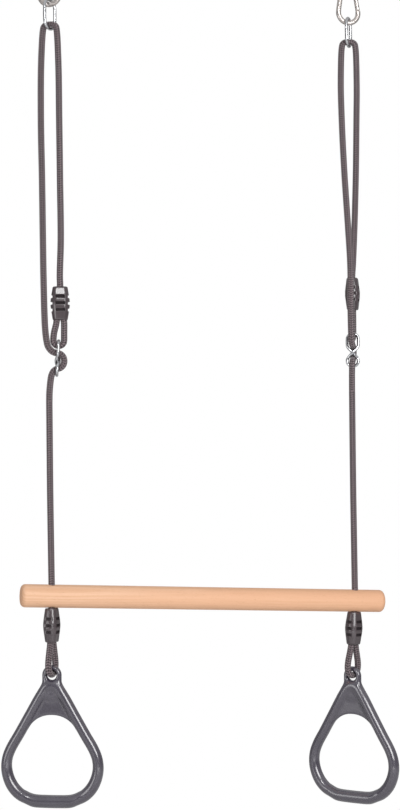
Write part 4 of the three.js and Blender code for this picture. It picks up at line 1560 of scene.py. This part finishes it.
print("slopes are measured over", fine_step * 1000, "mm, and normals over", broad_step * 1000, "mm")

# %% Mould and hang the rings
def ring_mesh():
    """The moulded ring, with its eye drilled before the skin is settled."""
    skin = rough_ring()
    eye = along_y(rod_parts(ring.eye / 2, -ring.grip, ring.grip, 48))
    voxel_skin(skin)
    with_modifiers(skin)
    carved(skin, [moved(eye, shifted(0, 0, ring.eye_height))])
    voxel_skin(skin)
    settled(skin, 4)
    points = settled(skin, 2)
    skin.data.update()
    skin.data.shade_smooth()
    normals = evened(slope_of_ring(points, broad_step), skin.data, 5)
    skin.data.normals_split_custom_set_from_vertices([tuple(normal) for normal in normals])
    return skin


moulded = ring_mesh()
lowest_rope = min(z for _, z in ring_rope_half)
for side in sides:
    hang = (side.bar_height - lower_mouth(side).translation.z) / math.cos(side.tilt) - lowest_rope
    eye_top = ring.eye_height + ring.eye / 2
    height = side.bar_height - hang * math.cos(side.tilt) + rope_diameter / 2 + ring.seat_gap - eye_top
    piece = in_scene(f"moulded_ring_{side.name}", moulded.data.copy())
    across = side.place - hang * math.sin(side.tilt)
    piece.data.transform(shifted(across, 0, height) @ turned_about("Z", math.radians(side.ring_turn)))
    stand_for(piece, f"gym_ring_{side.name}", ring_finish)
print("ring", len(moulded.data.polygons), "faces")
bpy.data.objects.remove(moulded)

# %% [markdown]
# ## Studio
# A pale floor below the rings and a plain white surround. A white world alone would light the dark
# pieces flat and leave the metal with nothing dark to mirror. So the camera sees white, the light is
# softly grey, and what is mirrored is grey at the sides and brighter above. Four soft boxes add the
# long streaks on the rings and the shading round the bar.

# %% Pale floor
floor_height = cad_low.z - 0.25
floor_half = 4.0


def by_ray(kind, usual, special):
    """The special shader for rays of one kind, and the usual one for all the others."""
    rays = new_node(usual.tree, "LightPath", {}, {})
    inputs = {0: Value(rays.outputs[kind]), 1: usual, 2: special}
    return Value(new_node(usual.tree, "MixShader", {}, inputs).outputs[0])


def pale_floor():
    corners = [(-1, -1), (1, -1), (1, 1), (-1, 1)]
    points = [(x * floor_half, y * floor_half, floor_height) for x, y in corners]
    floor = mesh_object("floor", points, [(0, 1, 2, 3)])
    material, tree, shader = new_material("pale_floor", linear(235, 235, 235), 0.9)
    glow = Value(new_node(tree, "Emission", {}, {}).outputs[0])
    seen = by_ray("Is Camera Ray", Value(shader.outputs[0]), glow)
    feed(seen, tree.nodes["Material Output"].inputs["Surface"])
    floor.data.materials.append(material)


pale_floor()
print("floor at", round(floor_height, 3))

# %% Surround
ambient = 0.4
mirrored_side, mirrored_top = 0.36, 0.8
white = (1, 1, 1, 1)
mirrored_grey = (0.8, 0.8, 0.8, 1)


def glowing(tree, colour, strength):
    inputs = {"Color": colour, "Strength": strength}
    return Value(new_node(tree, "Background", {}, inputs).outputs[0])


def surround():
    world = bpy.data.worlds.new("studio")
    world.use_nodes = True
    bpy.context.scene.world = world
    tree = world.node_tree
    tree.nodes.remove(tree.nodes["Background"])
    direction = new_node(tree, "TexCoord", {}, {})
    _, _, upward = apart(Value(direction.outputs["Generated"]))
    brightness = mirrored_side + (mirrored_top - mirrored_side) * upward.between(0.15, 0.7)
    light = glowing(tree, white, ambient)
    shiny = by_ray("Is Glossy Ray", light, glowing(tree, mirrored_grey, brightness))
    seen = by_ray("Is Camera Ray", shiny, glowing(tree, white, 1))
    feed(seen, tree.nodes["World Output"].inputs["Surface"])


surround()
print("surround", len(bpy.context.scene.world.node_tree.nodes), "nodes")

# %% Soft boxes
middle = (hook_spacing / 2, 0, -0.75)


def soft_box(name, place, width, height, power):
    """A lamp behind a white sheet, aimed at the middle of the trapeze."""
    data = bpy.data.lights.new(name, "AREA")
    data.shape = "RECTANGLE"
    data.size = width
    data.size_y = height
    data.energy = power
    box = in_scene(name, data)
    box.location = place
    box.rotation_euler = (Vector(middle) - Vector(place)).to_track_quat("-Z", "Y").to_euler()
    box.visible_camera = False


soft_box("key_light", (0.9, -2.3, -0.2), width=1.2, height=1.3, power=32)
soft_box("top_light", (-0.4, -2.3, 0.6), width=0.5, height=0.3, power=9)
soft_box("low_light", (0.1, -1.6, -1.9), width=1.5, height=1.0, power=15)
soft_box("side_light", (-1.7, -0.9, -0.9), width=1.0, height=1.0, power=7)
bpy.context.scene.view_settings.view_transform = "Standard"

# %% [markdown]
